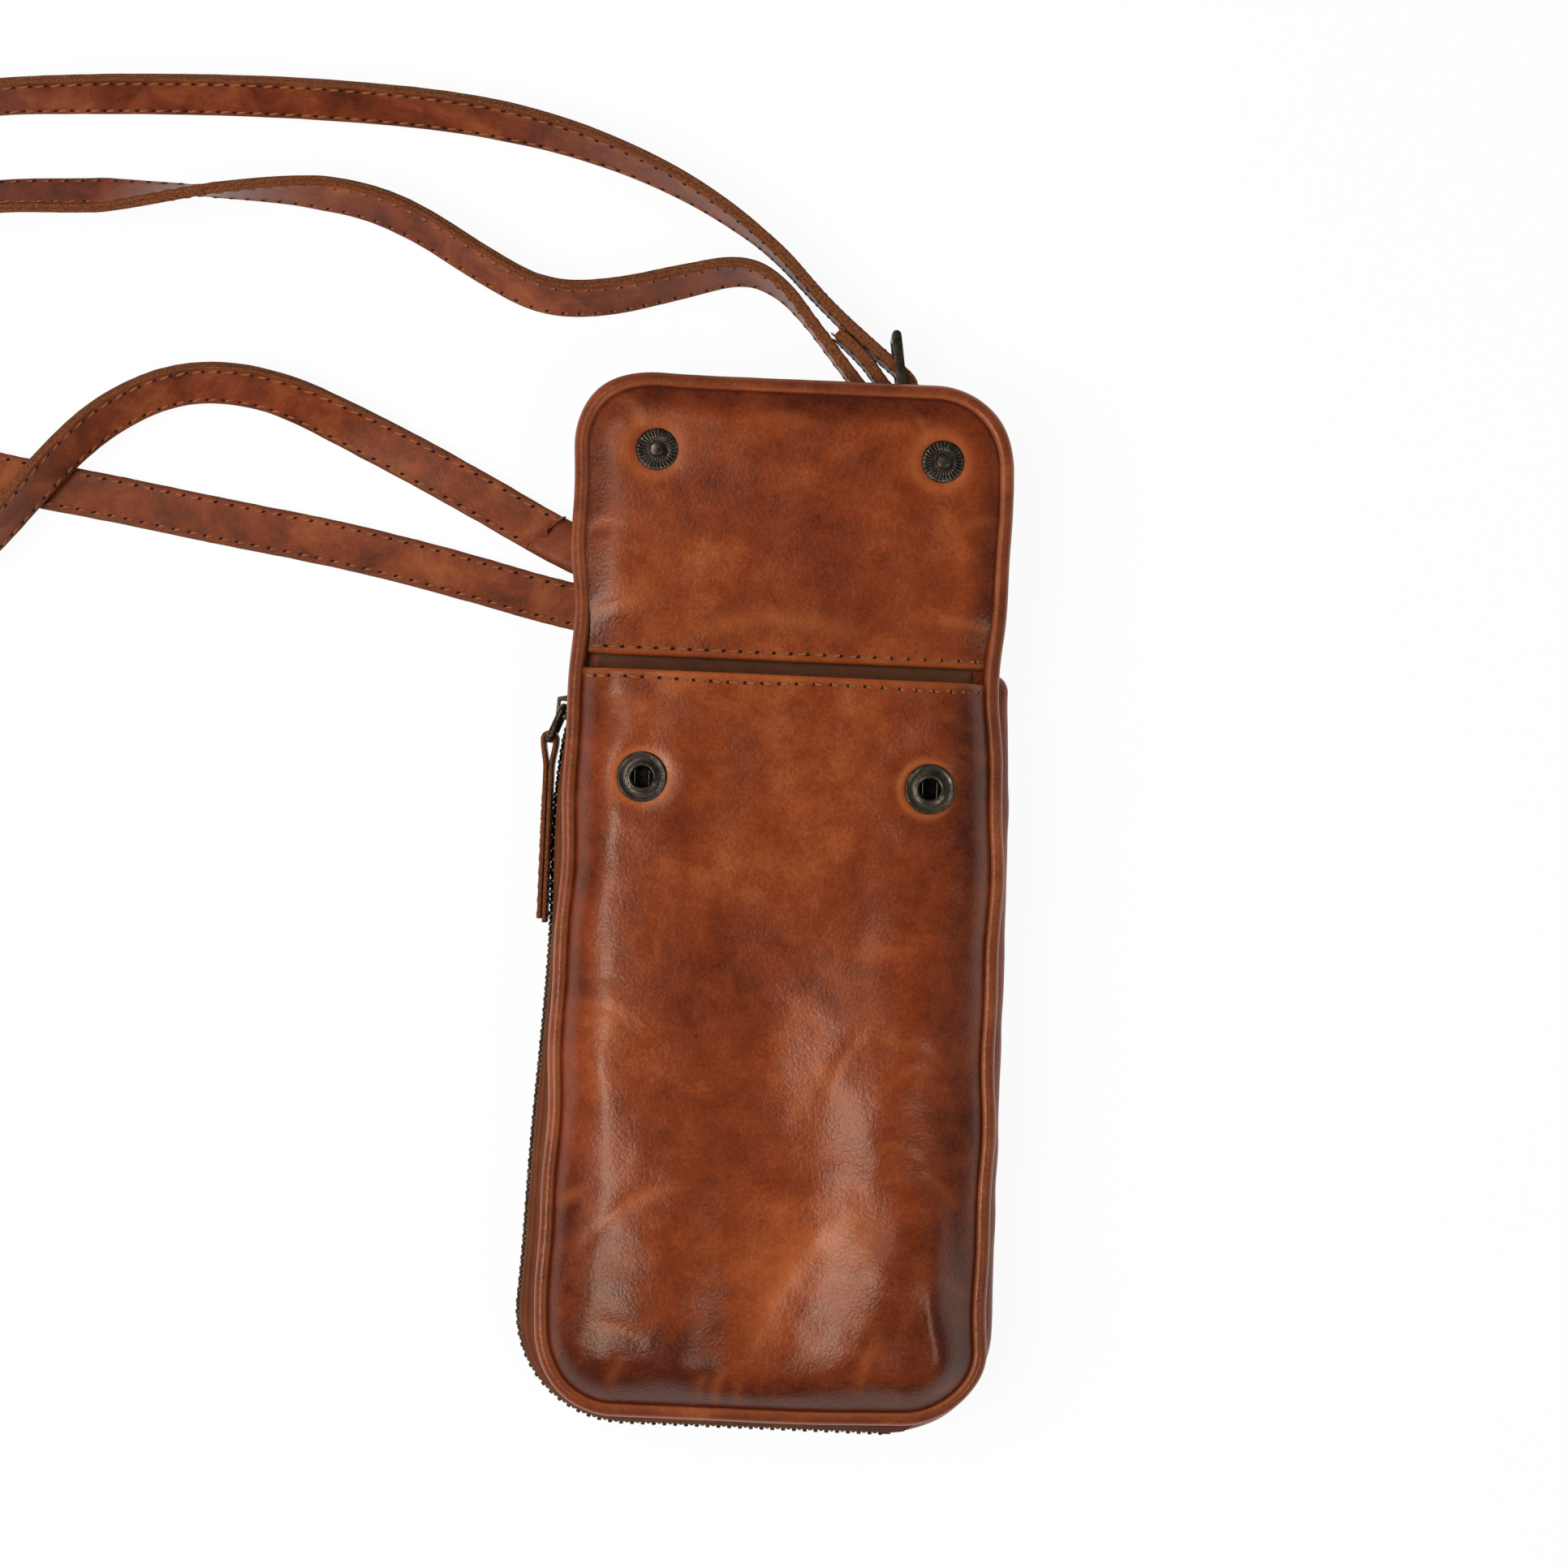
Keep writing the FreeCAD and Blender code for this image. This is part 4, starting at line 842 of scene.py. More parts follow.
# %% Front panel grid
lip = 1.5
turn_rows = panel_low + panel_radius * (1.0 - np.cos(np.linspace(0.0, math.pi / 2, 31)))
straight_rows = np.linspace(turn_rows[-1], panel_mouth - lip, 176)[1:]
lip_rows = panel_mouth - lip * np.cos(np.linspace(0.2, math.pi / 2, 8))
panel_rows = np.concatenate([turn_rows, straight_rows, lip_rows])
panel_x, panel_y = fill_rows(panel_rows, panel_low, no_end, panel_inset, panel_radius, 185, 0.86)
panel_edge = edge_distance(panel_x, panel_y, panel_low, no_end, panel_inset, panel_radius)
inner = smooth_step(2.0, 13.0, panel_edge)
ripples = ((0.5, 27.0, 15), (0.5, 14.0, 11), (0.1, 5.0, 12))  # rise, size, seed
ripple = sum(rise * rough(places(panel_x, panel_y), size, seed) for rise, size, seed in ripples)
creases = crease_field(panel_x, panel_y, panel_creases)
mouth_roll = 0.9 * (1.0 - np.sqrt(1.0 - np.clip((panel_y - panel_mouth + 1.2) / 1.2, 0.0, 1.0) ** 2))
panel_z = crown_height(panel_x, panel_y, panel_edge) + inner * (panel_relief(panel_x, panel_y) + ripple)
panel_z = panel_z - 0.7 * creases * (0.4 + 0.6 * inner) - mouth_roll
print("panel grid:", panel_x.shape, "height", round(float(panel_z.max()), 2))

# %% [markdown]
# ## Front panel finish
# The wear of the panel is set: pale along the creases, round the snaps and at the mouth's edge.
# The colour is darker towards the piping, which is painted shade in the seam and on the crown's roll.
# Broad patches make it lighter or darker: partly the leather's own uneven colour, partly painted
# highlights on the left of the lobes and painted shade on the right side and along the bottom.

# %% Front panel wear
# Patches of colour: some are the hide's own, some paint highlights on the left and shade on the right and at
# the bottom.
panel_colour_and_light_patches = (  # x, y, half width, half length, lean, lighter or darker
    (-22, 14, 20, 16, 20, 0.22), (8, 12, 24, 20, 0, 0.2), (0, 40, 40, 12, 0, -0.05),
    (-9, -128, 10, 9, 0, 0.2), (30, 42, 12, 10, 0, -0.18), (40, 10, 14, 14, 0, -0.12),
    (-10, -60, 12, 40, 0, 0.15), (-48, 0, 8, 40, 0, 0.1), (-44, -34, 8, 8, 0, 0.25),
    (10, -95, 14, 26, -35, 0.2), (44, -118, 12, 14, 0, -0.22), (-46, -120, 8, 14, 0, -0.2),
    (48, -60, 8, 40, 0, -0.25), (-24, -124, 16, 7, 0, -0.25), (22, -126, 14, 6, 0, -0.25),
    (-6, -20, 26, 18, 0, -0.12), (0, -130, 50, 18, 0, -0.6))
socket_gap = spot_gap(panel_x, panel_y, socket_spots)
panel_wear = 0.5 * creases + 0.6 * hump(socket_gap, 7.2, 1.1)
panel_wear += 0.35 * smooth_step(panel_mouth - 3.0, panel_mouth, panel_y)
panel_tone_and_shade = 0.6 * lumps(panel_x, panel_y, panel_colour_and_light_patches)
# Painted shade: darker in the seam and on the crown's roll down to the piping.
panel_tone_and_shade -= 0.3 * (1.0 - smooth_step(0.2, 1.2, panel_edge)) + 0.24 * smooth_step(13.0, 3.0, panel_edge)
panel = sheet("front_panel_leather", panel_x, panel_y, panel_z, wall=1.5, cut=socket_gap <= socket_hole,
              wear=np.clip(panel_wear, 0.0, 1.0), tone=panel_tone_and_shade)
dress(panel, cognac, "pouch", "cognac_leather", "front_panel", "mouth_hem")

# %% [markdown]
# ## Piping
# A cord is wrapped in a leather strip and sewn into the seam all the way round pocket and flap. The
# tube is swept along the outline, a little flattened where the panel is sewn to it, and its radius
# wavers. It is one loop, so it crosses the flap's bend.

# %% Piping
pipe_radius, pipe_z = 2.25, 20.85
pipe_path = outline(pouch_corners, pipe_radius, 24, 150)
pipe_line = places(pipe_path[:, 0], pipe_path[:, 1], pipe_z)
pipe_ahead = unit(np.roll(pipe_line, -1, axis=0) - np.roll(pipe_line, 1, axis=0))
pipe_up = np.broadcast_to((0.0, 0.0, 1.0), pipe_line.shape)
pipe_in = np.cross(pipe_up, pipe_ahead)
pipe_turn = full_turn(28)


def pipe_band(degrees, width):
    return hump(pipe_turn, math.radians(degrees), width)


waver = 1.0 + 0.035 * rough(places(pipe_path[:, 0], pipe_path[:, 1]), 9.0, 21)
pipe_radii = waver[:, None] * (pipe_radius - 0.16 * pipe_band(40, 0.3))
pipe_rings = rings_along(pipe_line, pipe_in, pipe_up, pipe_radii * np.cos(pipe_turn),
                         pipe_radii * np.sin(pipe_turn))
piping = new_piece("piping", drifted(pipe_rings), tube_faces(*pipe_rings.shape[:2], closed=True))
rubbing = 0.75 + 0.5 * rough(places(pipe_path[:, 0], pipe_path[:, 1], 1.0), 22.0, 22)
ridge = 0.35 * pipe_band(150, 0.3) + 0.5 * pipe_band(62, 0.22)
# Painted shade: darker on the inner flank where the panel meets the piping and on the underside; the pale
# ridges are wear.
set_values(piping, wear=np.clip(rubbing[:, None] * ridge, 0.0, 1.0),
           tone=-0.5 * pipe_band(18, 0.3) - 0.2 * (np.sin(pipe_turn) < 0))
dress(piping, piping_finish, BEND, "piping_leather", "pocket_piping", "pocket_piping_cord", "flap_piping",
      "flap_piping_cord", "fold_piping")
print("piping:", len(piping.data.polygons), "faces")

# %% [markdown]
# ## Cover of pocket back and flap
# Behind the pocket lies a flat panel that runs on as the outside of the flap. It is one sheet of leather,
# so it is made as one grid with rounded corners at both ends. It stays flat, because the strap passes
# close below it.

# %% Cover
cover_end, cover_inset, cover_radius, cover_z = 136.8, 2.2, 19.8, 18.6
cover_x, cover_y = sheet_grid(-cover_end, cover_end, cover_inset, cover_radius, step=2.0, count=61)
cover_wear = np.clip(0.5 * rough(places(cover_x, cover_y), 30.0, 31) - 0.1, 0.0, 0.4)
cover = sheet("cover_leather", cover_x, cover_y, cover_z, wall=1.6, wear=cover_wear)
dress(cover, cognac, BEND, "cognac_leather", "pocket_back", "fold_cover", "flap_cover")

# %% [markdown]
# ## Flap facing
# The inside of the flap is padded, so its facing swells up from the piping, flattens out, and is pulled
# down in a dimple at each snap stud. Near the pocket it thins to a sewn edge. It is one puffed sheet over
# padding, and it stands for facing and padding together.

# %% Flap facing
stud_spots = ((-snap_x, stud_y), (snap_x, stud_y))
face_low, face_high = 63.6, 135.5
face_x, face_y = sheet_grid(face_low, face_high, panel_inset, panel_radius, step=0.9, count=150,
                            gather=0.86, low_round=False)
face_edge = edge_distance(face_x, face_y, -no_end, face_high, panel_inset, panel_radius)
face_flat = places(face_x, face_y)
face_creases = crease_field(face_x, face_y, (
    (-55, 74, -40, 78, 0.3, 1.6), (-54, 96, -44, 99, 0.25, 1.4), (-46, 131, -41, 124, 0.3, 1.4),
    (40, 76, 55, 73, 0.3, 1.6), (-30, 70, 20, 72, 0.3, 2.4), (30, 131, 34, 123, 0.25, 1.4),
    (44, 100, 54, 104, 0.25, 1.4), (-12, 128, 6, 126, 0.2, 1.6)))
puff = 1.0 - (1.0 - np.clip(face_edge / 14.0, 0.0, 1.0)) ** 2.6
fullness = 0.4 + 1.7 * smooth_step(63.5, 84.0, face_y)
face_base = 20.6 + 1.6 * smooth_step(64.0, 80.0, face_y)
stud_gap = spot_gap(face_x, face_y, stud_spots)
dimple = 1.3 * hump(stud_gap, 0.0, 8.5)
swell = 0.35 * rough(face_flat, 18.0, 41) + 0.12 * rough(face_flat, 7.0, 42)
swell += 0.45 * smooth_step(78.0, 96.0, face_y)
lower_roll = 0.8 * (1.0 - np.sqrt(1.0 - np.clip(face_low + 1.0 - face_y, 0.0, 1.0) ** 2))
face_z = face_base + puff * fullness + smooth_step(1.5, 9.0, face_edge) * (swell - dimple)
face_z -= 0.8 * face_creases + lower_roll
face_wear = 0.9 * face_creases + 0.4 * hump(stud_gap, 7.0, 2.0) + 0.4 * smooth_step(67.0, 63.6, face_y)
# Painted shade: the facing darkens next to the piping, where the padding rolls down to it.
face_tone_and_shade = 0.02 - 0.3 * (1.0 - smooth_step(0.2, 1.4, face_edge)) - 0.3 * smooth_step(10.0, 2.0, face_edge)
facing = sheet("flap_facing_leather", face_x, face_y, face_z, wall=1.1,
               wear=np.clip(face_wear, 0.0, 1.0), tone=face_tone_and_shade)
dress(facing, cognac, BEND, "cognac_leather", "flap_facing", "fold_facing", "flap_padding")

# %% [markdown]
# ## Linings at the mouth
# Looking into the open pocket, dark suede shows on both walls. The back lining lies flat on the cover,
# and the front lining follows the crown from inside. Both are thin sheets.

# %% Linings
back_x, back_y = sheet_grid(-131.4, 63.9, inset=7.4, radius=15.0, step=3.0, count=41, high_round=False)
back_z = 19.1 + 0.12 * rough(places(back_x, back_y), 12.0, 51)
back_lining = sheet("back_lining_suede", back_x, back_y, back_z, wall=0.45)
dress(back_lining, lining_finish, "pouch", "suede_lining", "back_lining")
front_low, front_high, front_inset, front_radius, seam_z = -132.4, 59.4, 6.6, 15.4, 19.2
front_x, front_y = sheet_grid(front_low, front_high, front_inset, front_radius, step=2.6, count=61,
                              high_round=False)
front_edge = edge_distance(front_x, front_y, front_low, no_end, front_inset, front_radius)
below_crown = crown_height(front_x, front_y, front_edge + 2.7) - 2.6
front_z = seam_z + (below_crown - seam_z) * smooth_step(-0.2, 2.6, front_edge)
front_z += smooth_step(2.0, 13.0, front_edge) * np.minimum(panel_relief(front_x, front_y), 0.6)
front_cut = spot_gap(front_x, front_y, socket_spots) <= socket_hole + 0.4
front_lining = sheet("front_lining_suede", front_x, front_y, front_z, wall=0.5, cut=front_cut)
dress(front_lining, lining_finish, "pouch", "suede_lining", "front_lining")
for name in ("rear_lining", "divider_lining"):
    nodes[name].data.materials.clear()
    nodes[name].data.materials.append(lining_finish)

# %% [markdown]
# ## Rear compartment
# A side wall runs all the way round, drawn in at the back, upright in the middle and sewn to the pocket
# at the top. On the right and along the top it is a leather gusset. On the left and along the bottom it is
# the two tapes of the zip. One loft through four outlines gives the whole wall, and each piece takes
# its share.

# %% Rear wall
wall_low, wall_high = 0.9, 17.2
wall_levels = ((3.2, rear_corners, wall_low), (0.0, rear_corners, 4.4), (0.0, rear_corners, 14.4),
               (1.0, seam_corners, wall_high))


def rear_ring(corners, inset, z, arc=24, run=70):
    ring = outline(corners, inset, arc, run)
    ring = swollen(ring) if corners is rear_corners else drifted(ring)
    return places(ring[:, 0], ring[:, 1], z)


wall_rings = np.stack([rear_ring(corners, inset, z) for inset, corners, z in wall_levels])
wall_x, wall_y = wall_rings[1][:, 0], wall_rings[1][:, 1]
in_zip = ((wall_x < 38) & (wall_y < -100)) | ((wall_x < -30) & (wall_y < 60))
first_zip = next(i for i in range(len(in_zip)) if in_zip[i] and not in_zip[i - 1])
zip_order = (first_zip + np.arange(in_zip.sum() + 1)) % len(in_zip)
gusset_order = (first_zip + np.arange(in_zip.sum(), len(in_zip) + 1)) % len(in_zip)


def wall_piece(name, order, low_z, high_z, count, bulge, seed, wall, lift=0.0):
    """The wall between two heights, smoothed across its levels and gently rippled."""
    heights = np.linspace(wall_low, wall_high, 41)
    levels = [z for _, _, z in wall_levels]
    rings = np.stack([[np.interp(heights, levels, wall_rings[:, i, k]) for k in range(3)] for i in order])
    for _ in range(6):
        rings[:, :, 1:-1] = (rings[:, :, :-2] + 2 * rings[:, :, 1:-1] + rings[:, :, 2:]) / 4
    wanted = np.linspace(low_z, high_z, count)
    grid = np.stack([[np.interp(wanted, heights, ring[k]) for k in range(3)] for ring in rings])
    grid = grid.transpose(2, 0, 1)
    ahead = np.gradient(grid[:, :, :2], axis=1)
    out = unit(np.stack([ahead[:, :, 1], -ahead[:, :, 0]], axis=2))
    wave = rough(grid, 11.0, seed) * bulge + lift * smooth_step(wall_low, 5.0, grid[:, :, 2])
    grid[:, :, :2] += out * wave[:, :, None]
    obj = thicken(new_piece(name, grid, grid_faces(count, len(order))), wall)
    print(name, len(obj.data.polygons), "faces")
    return obj


gusset = wall_piece("gusset_leather", gusset_order, wall_low, wall_high, count=19, bulge=0.35, seed=61,
                    wall=1.4)
dress(gusset, cognac, "pouch", "cognac_leather", "gusset")
front_tape = wall_piece("zip_tape_front_cloth", zip_order, 10.3, wall_high, count=9, bulge=0.1, seed=62,
                        wall=0.8)
dress(front_tape, tape_finish, "pouch", "zip_tape", "zip_tape_front")
rear_tape = wall_piece("zip_tape_rear_cloth", zip_order, wall_low, 8.5, count=9, bulge=0.1, seed=63,
                       wall=0.8, lift=0.9)
dress(rear_tape, tape_finish, "pouch", "zip_tape", "zip_tape_rear")

# %% [markdown]
# ## Back panel
# The back of the pouch is a firm leather panel with rounded edges, and it lies on the table. Rings of the
# outline run inwards from its rim, and a fan closes the middle, so that the edge can be rounded.

# %% Back panel
back_top = 1.75
back_rings = ((48.0, back_top), (20.0, back_top), (3.4, 1.7), (3.05, 1.2), (3.05, 0.7), (3.3, 0.25),
              (3.9, 0.02), (9.0, 0.0), (20.0, 0.0), (32.0, 0.0), (48.0, 0.0))
back_loops = np.stack([rear_ring(rear_corners, inset, z, 20, 48) for inset, z in back_rings])
back_middle = [(-2.6, -39.0, back_top), (-2.6, -39.0, 0.0)]
back_points = np.concatenate([back_loops.reshape(-1, 3), back_middle])
loops, loop = back_loops.shape[:2]
last_loop = (loops - 1) * loop
back_faces = grid_faces(loops, loop, round_columns=True)
for i in range(loop):
    follower = (i + 1) % loop
    back_faces.append((follower, i, loops * loop))
    back_faces.append((last_loop + i, last_loop + follower, loops * loop + 1))
back = face_out(new_piece("back_panel_leather", back_points, back_faces))
dress(back, cognac, "pouch", "cognac_leather", "back_panel")
print("back panel:", len(back.data.polygons), "faces")

# %% [markdown]
# ## Zip teeth
# A metal zip is the most skilled part to make: each tooth is a small clip, clamped astride the edge of a
# tape, and the two rows mesh half a pitch apart. A Geometry Nodes tree sets them along the chain's line. It
# reads which way is inwards from the line's own points, and turns every second tooth over.

# %% Zip teeth tree
def new_tree(name, inputs):
    """An empty tree with named inputs: the tree, its geometry, and its inputs by name."""
    tree = bpy.data.node_groups.new(name, "GeometryNodeTree")
    tree.interface.new_socket("Geometry", in_out="INPUT", socket_type="NodeSocketGeometry")
    for label, kind, start in inputs:
        socket = tree.interface.new_socket(label, in_out="INPUT", socket_type="NodeSocket" + kind)
        if start is not None:
            socket.default_value = start
    tree.interface.new_socket("Geometry", in_out="OUTPUT", socket_type="NodeSocketGeometry")
    outputs = tree.nodes.new("NodeGroupInput").outputs
    return tree, Value(outputs[0]), {label: Value(outputs[label]) for label, _, _ in inputs}


def turned(first, second, axes, angles):
    """The rotation that lays two axes along two directions, turned on by angles of its own."""
    settings = {"primary_axis": axes[0], "secondary_axis": axes[1]}
    along = {"Primary Axis": first, "Secondary Axis": second}
    lie = first.node("FunctionNodeAxesToRotation", settings, along)
    own = first.node("FunctionNodeEulerToRotation", None, {0: angles})
    return first.node("FunctionNodeRotateRotation", {"rotation_space": "LOCAL"}, {0: lie, 1: own})


def set_row(tree, curve, spacing, material, **instance):
    """Sets an instance on points along a curve, makes the row real and gives it its material."""
    points = curve.node("GeometryNodeResampleCurve", {"mode": "LENGTH"}, {"Curve": curve, "Length": spacing})
    row = curve.node("GeometryNodeInstanceOnPoints", None, {"Points": points, **instance})
    row = curve.node("GeometryNodeRealizeInstances", None, {"Geometry": row})
    row = curve.node("GeometryNodeSetMaterial", None, {"Geometry": row, "Material": material})
    tree.links.new(row.socket, tree.nodes.new("NodeGroupOutput").inputs[0])


def run_tree(name, tree, lines, up_name, ups, settings):
    """Puts a tree on lines of points, sets its inputs, and gives back the plain mesh it makes."""
    mesh = bpy.data.meshes.new(name + "_line")
    points = np.concatenate(lines)
    ends = np.cumsum([len(line) for line in lines])
    links = [(i, i + 1) for i in range(len(points) - 1) if i + 1 not in ends]
    mesh.from_pydata(points * MM, links, [])
    attribute = mesh.attributes.new(up_name, "FLOAT_VECTOR", "POINT")
    attribute.data.foreach_set("vector", np.concatenate(ups).astype(np.float32).ravel())
    holder = new_object(name, mesh)
    modifier = holder.modifiers.new("tree", "NODES")
    modifier.node_group = tree
    for item in tree.interface.items_tree:
        if item.in_out == "INPUT" and item.name in settings:
            modifier[item.identifier] = settings[item.name]
    return settle(holder)


half_pitch = 1.45 * MM
chain_tree, chain, chain_given = new_tree("zip_chain", (
    ("Half Pitch", "Float", half_pitch), ("Tooth", "Object", None), ("Metal", "Material", None)))
chain_curve = chain.node("GeometryNodeMeshToCurve", None, {"Mesh": chain})
inward = chain.node("GeometryNodeInputNamedAttribute", {"data_type": "FLOAT_VECTOR"}, {"Name": "inward"})
index = chain.node("GeometryNodeInputIndex")
odd = index.sum("FLOORED_MODULO", index, 2.0)
flip = chain.node("ShaderNodeCombineXYZ", None, {"X": odd * math.pi})
tooth_turn = turned(chain.node("GeometryNodeInputTangent"), inward, "XY", flip)
tooth_form = chain.node("GeometryNodeObjectInfo", None, {"Object": chain_given["Tooth"]}, "Geometry")
set_row(chain_tree, chain_curve, chain_given["Half Pitch"], chain_given["Metal"],
        Instance=tooth_form, Rotation=tooth_turn)
print("chain tree:", len(chain_tree.nodes), "nodes")

# %% [markdown]
# ## The chain
# One tooth is drawn as a clip with a rounded head, with X along the chain, Y inwards and Z
# towards its own tape. The chain follows the wall's outline at the height between the two tapes.

# %% Zip teeth
chain_z = 9.4
tooth_shape = [(-1.4, -0.3), (-0.75, -0.8), (0.75, -0.8), (1.4, -0.3), (1.4, 2.5), (1.0, 2.9), (-1.0, 2.9),
               (-1.4, 2.5)]
tooth_rings = [[(x, y * share, (z - 1.0) * share + 1.0) for y, z in tooth_shape]
               for x, share in ((-0.6, 0.8), (-0.42, 1.0), (0.42, 1.0), (0.6, 0.8))]
tooth_faces = tube_faces(len(tooth_rings), len(tooth_shape))
tooth = new_piece("tooth", tooth_rings, tooth_faces)
chain_line = rear_ring(rear_corners, 0.4, chain_z)[zip_order]
chain_line = chain_line[(chain_line[:, 1] < 49.4) & (chain_line[:, 0] < 33.5)]
chain_ahead = unit(np.gradient(chain_line, axis=0))
chain_inward = places(-chain_ahead[:, 1], chain_ahead[:, 0])
teeth = run_tree("zip_teeth", chain_tree, [chain_line], "inward", [chain_inward],
                 {"Half Pitch": half_pitch, "Tooth": tooth, "Metal": antique})
bpy.data.objects.remove(tooth)
dress(teeth, antique, "pouch", "antique_metal", "zip_teeth_front", "zip_teeth_rear")
print("teeth:", len(teeth.data.polygons) // len(tooth_faces), "with", len(teeth.data.polygons), "faces")

# %% [markdown]
# ## Small metal parts
# The slider, the zip's stops and the strap adjuster are cast, so no edge of theirs is sharp. Their solids
# already have the right form: a copy is merged, its flat faces are joined and its edges get a small bevel.

# %% Cast parts
def cast_copy(name, node, bevel):
    mesh = nodes[node].data.copy()
    form = bmesh.new()
    form.from_mesh(mesh)
    bmesh.ops.remove_doubles(form, verts=form.verts, dist=0.002 * MM)
    bmesh.ops.dissolve_limit(form, angle_limit=math.radians(2), verts=form.verts, edges=form.edges)
    inner_edges = [edge for edge in form.edges if len(edge.link_faces) == 2]
    sharp = [edge for edge in inner_edges if edge.calc_face_angle(0.0) > math.radians(40)]
    bmesh.ops.bevel(form, geom=sharp, offset=bevel * MM, segments=3, profile=0.5, affect="EDGES",
                    clamp_overlap=True)
    for face in form.faces:
        face.smooth = True
    form.to_mesh(mesh)
    form.free()
    mesh.set_sharp_from_angle(angle=math.radians(38))
    print(name, len(mesh.polygons), "faces")
    return new_object(name, mesh)


slider = cast_copy("zip_slider_metal", "zip_slider", 0.3)
dress(slider, antique, "zip_slider", "antique_metal", "zip_slider")
adjuster = cast_copy("strap_adjuster_metal", "strap_adjuster", 0.5)
dress(adjuster, gunmetal, "pouch", "antique_metal", "strap_adjuster")
stops = cast_copy("zip_stops_metal", "zip_stops", 0.2)
dress(stops, antique, "pouch", "antique_metal", "zip_stops")

# %% [markdown]
# ## Wire rings
# The strap hangs on two rings of bent wire, and a smaller one joins the puller to the slider. A round
# section is swept along a rectangle with rounded corners, and the loop is closed on itself.

# %% Wire rings
def rounded_loop(spots, radius, arc=10, run=6):
    """Points of a loop through four spots with rounded corners."""
    spots = np.array(spots, float)
    turn = np.linspace(0.0, math.pi / 2, arc + 1)[:, None]
    points = []
    for here, before, after in zip(spots, np.roll(spots, 1, axis=0), np.roll(spots, -1, axis=0)):
        back, ahead = unit(before - here), unit(after - here)
        corner = here + (back + ahead) * radius - ahead * radius * np.cos(turn) - back * radius * np.sin(turn)
        straight = after - ahead * radius - corner[-1]
        points += [corner, corner[-1] + straight * np.linspace(0.0, 1.0, run + 2)[1:-1, None]]
    return np.concatenate(points)


def wire_rings(line, ahead, side, radius, count):
    """Rings of a round section along a line; side is square to the whole line."""
    turn = full_turn(count)
    side = np.broadcast_to(np.asarray(side, float), line.shape)
    return rings_along(line, unit(np.cross(ahead, side)), side, radius * np.cos(turn), radius * np.sin(turn))


def wire_loop(name, spots, corner, wire, side):
    line = rounded_loop(spots, corner)
    ahead = unit(np.roll(line, -1, axis=0) - np.roll(line, 1, axis=0))
    rings = wire_rings(line, ahead, side, wire / 2, 16)
    return face_out(new_piece(name, rings, tube_faces(*rings.shape[:2], closed=True)))


ring_x, ring_half, ring_low, ring_high, ring_z = 42.0, 8.25, 69.5, 86.6, 11.5
for side, sign in SIDES:
    low_x, high_x = sign * ring_x - ring_half, sign * ring_x + ring_half
    corners = [(low_x, ring_low, ring_z), (high_x, ring_low, ring_z), (high_x, ring_high, ring_z),
               (low_x, ring_high, ring_z)]
    ring = wire_loop("strap_ring_wire_" + side, corners, corner=2.0, wire=2.5, side=(0, 0, 1))
    dress(ring, gunmetal, "ring_" + side, "antique_metal", "strap_ring_" + side)
eye, fold = np.array([-60.391, 49.245, chain_z]), np.array([-63.9, 40.525, chain_z])
tall = np.array([0.0, 0.0, 6.5])
pull_corners = [eye - tall, fold - tall, fold + tall, eye + tall]
pull_side = unit(np.cross(fold - eye, tall))
pull_ring = wire_loop("zip_pull_wire", pull_corners, corner=1.4, wire=2.0, side=pull_side)
dress(pull_ring, gunmetal, "zip_ring", "antique_metal", "zip_pull_ring")
print("rings made, the pull ring turns at", eye)

# %% [markdown]
# ## Folded leather: puller and ring tabs
# The zip's puller is a strip folded round the pull ring and sewn to itself. The two tabs that hold the strap
# rings are folded the same way and sewn into the top of the gusset. Each is a flat section swept round the
# fold, with raw edges like the strap's.

# %% Folded strips
def folded_strip(name, path, across, width, thickness, seed):
    """A strip along a path in one plane; across is the direction of its width."""
    across = np.broadcast_to(np.asarray(across, float), path.shape)
    through = np.cross(unit(np.gradient(path, axis=0)), across)
    half, thick = width / 2, thickness / 2
    section = [(half - 0.5, thick), (half - 0.12, thick * 0.75), (half, 0.0), (half - 0.12, -thick * 0.75),
               (half - 0.5, -thick)]
    section = np.array(section + [(0.0, -thick)] + [(-a, b) for a, b in section[::-1]] + [(0.0, thick)])
    fuzz_places = path[:, None] + np.column_stack([section, section[:, 0]]) * 2
    reach = section[:, 0] * (1.0 + 0.02 * rough(fuzz_places, 2.0, seed))
    rings = rings_along(path, across, through, reach, section[:, 1])
    obj = face_out(new_piece(name, rings, tube_faces(*rings.shape[:2])))
    set_values(obj, raw=smooth_step(half - 0.4, half - 0.1, abs(section[:, 0])), side=section[:, 0] / half)
    return obj


def fold_path(start_reach, turn_radius, end_reach, tail_gap, neck):
    """Down one side, round a half turn and down the other, in a plane of (out, along)."""
    turn = np.linspace(0.0, math.pi, 17)
    arc = np.column_stack([np.cos(turn) * turn_radius, np.sin(turn) * turn_radius])
    left = np.linspace(start_reach, 0.0, 30)[:-1]
    right = np.linspace(0.0, end_reach, 30)[1:]
    gap_left, gap_right = [tail_gap + (turn_radius - tail_gap) * smooth_step(neck, 0.0, reach)
                           for reach in (left, right)]
    return np.concatenate([np.column_stack([gap_left, -left]), arc, np.column_stack([-gap_right, -right])])


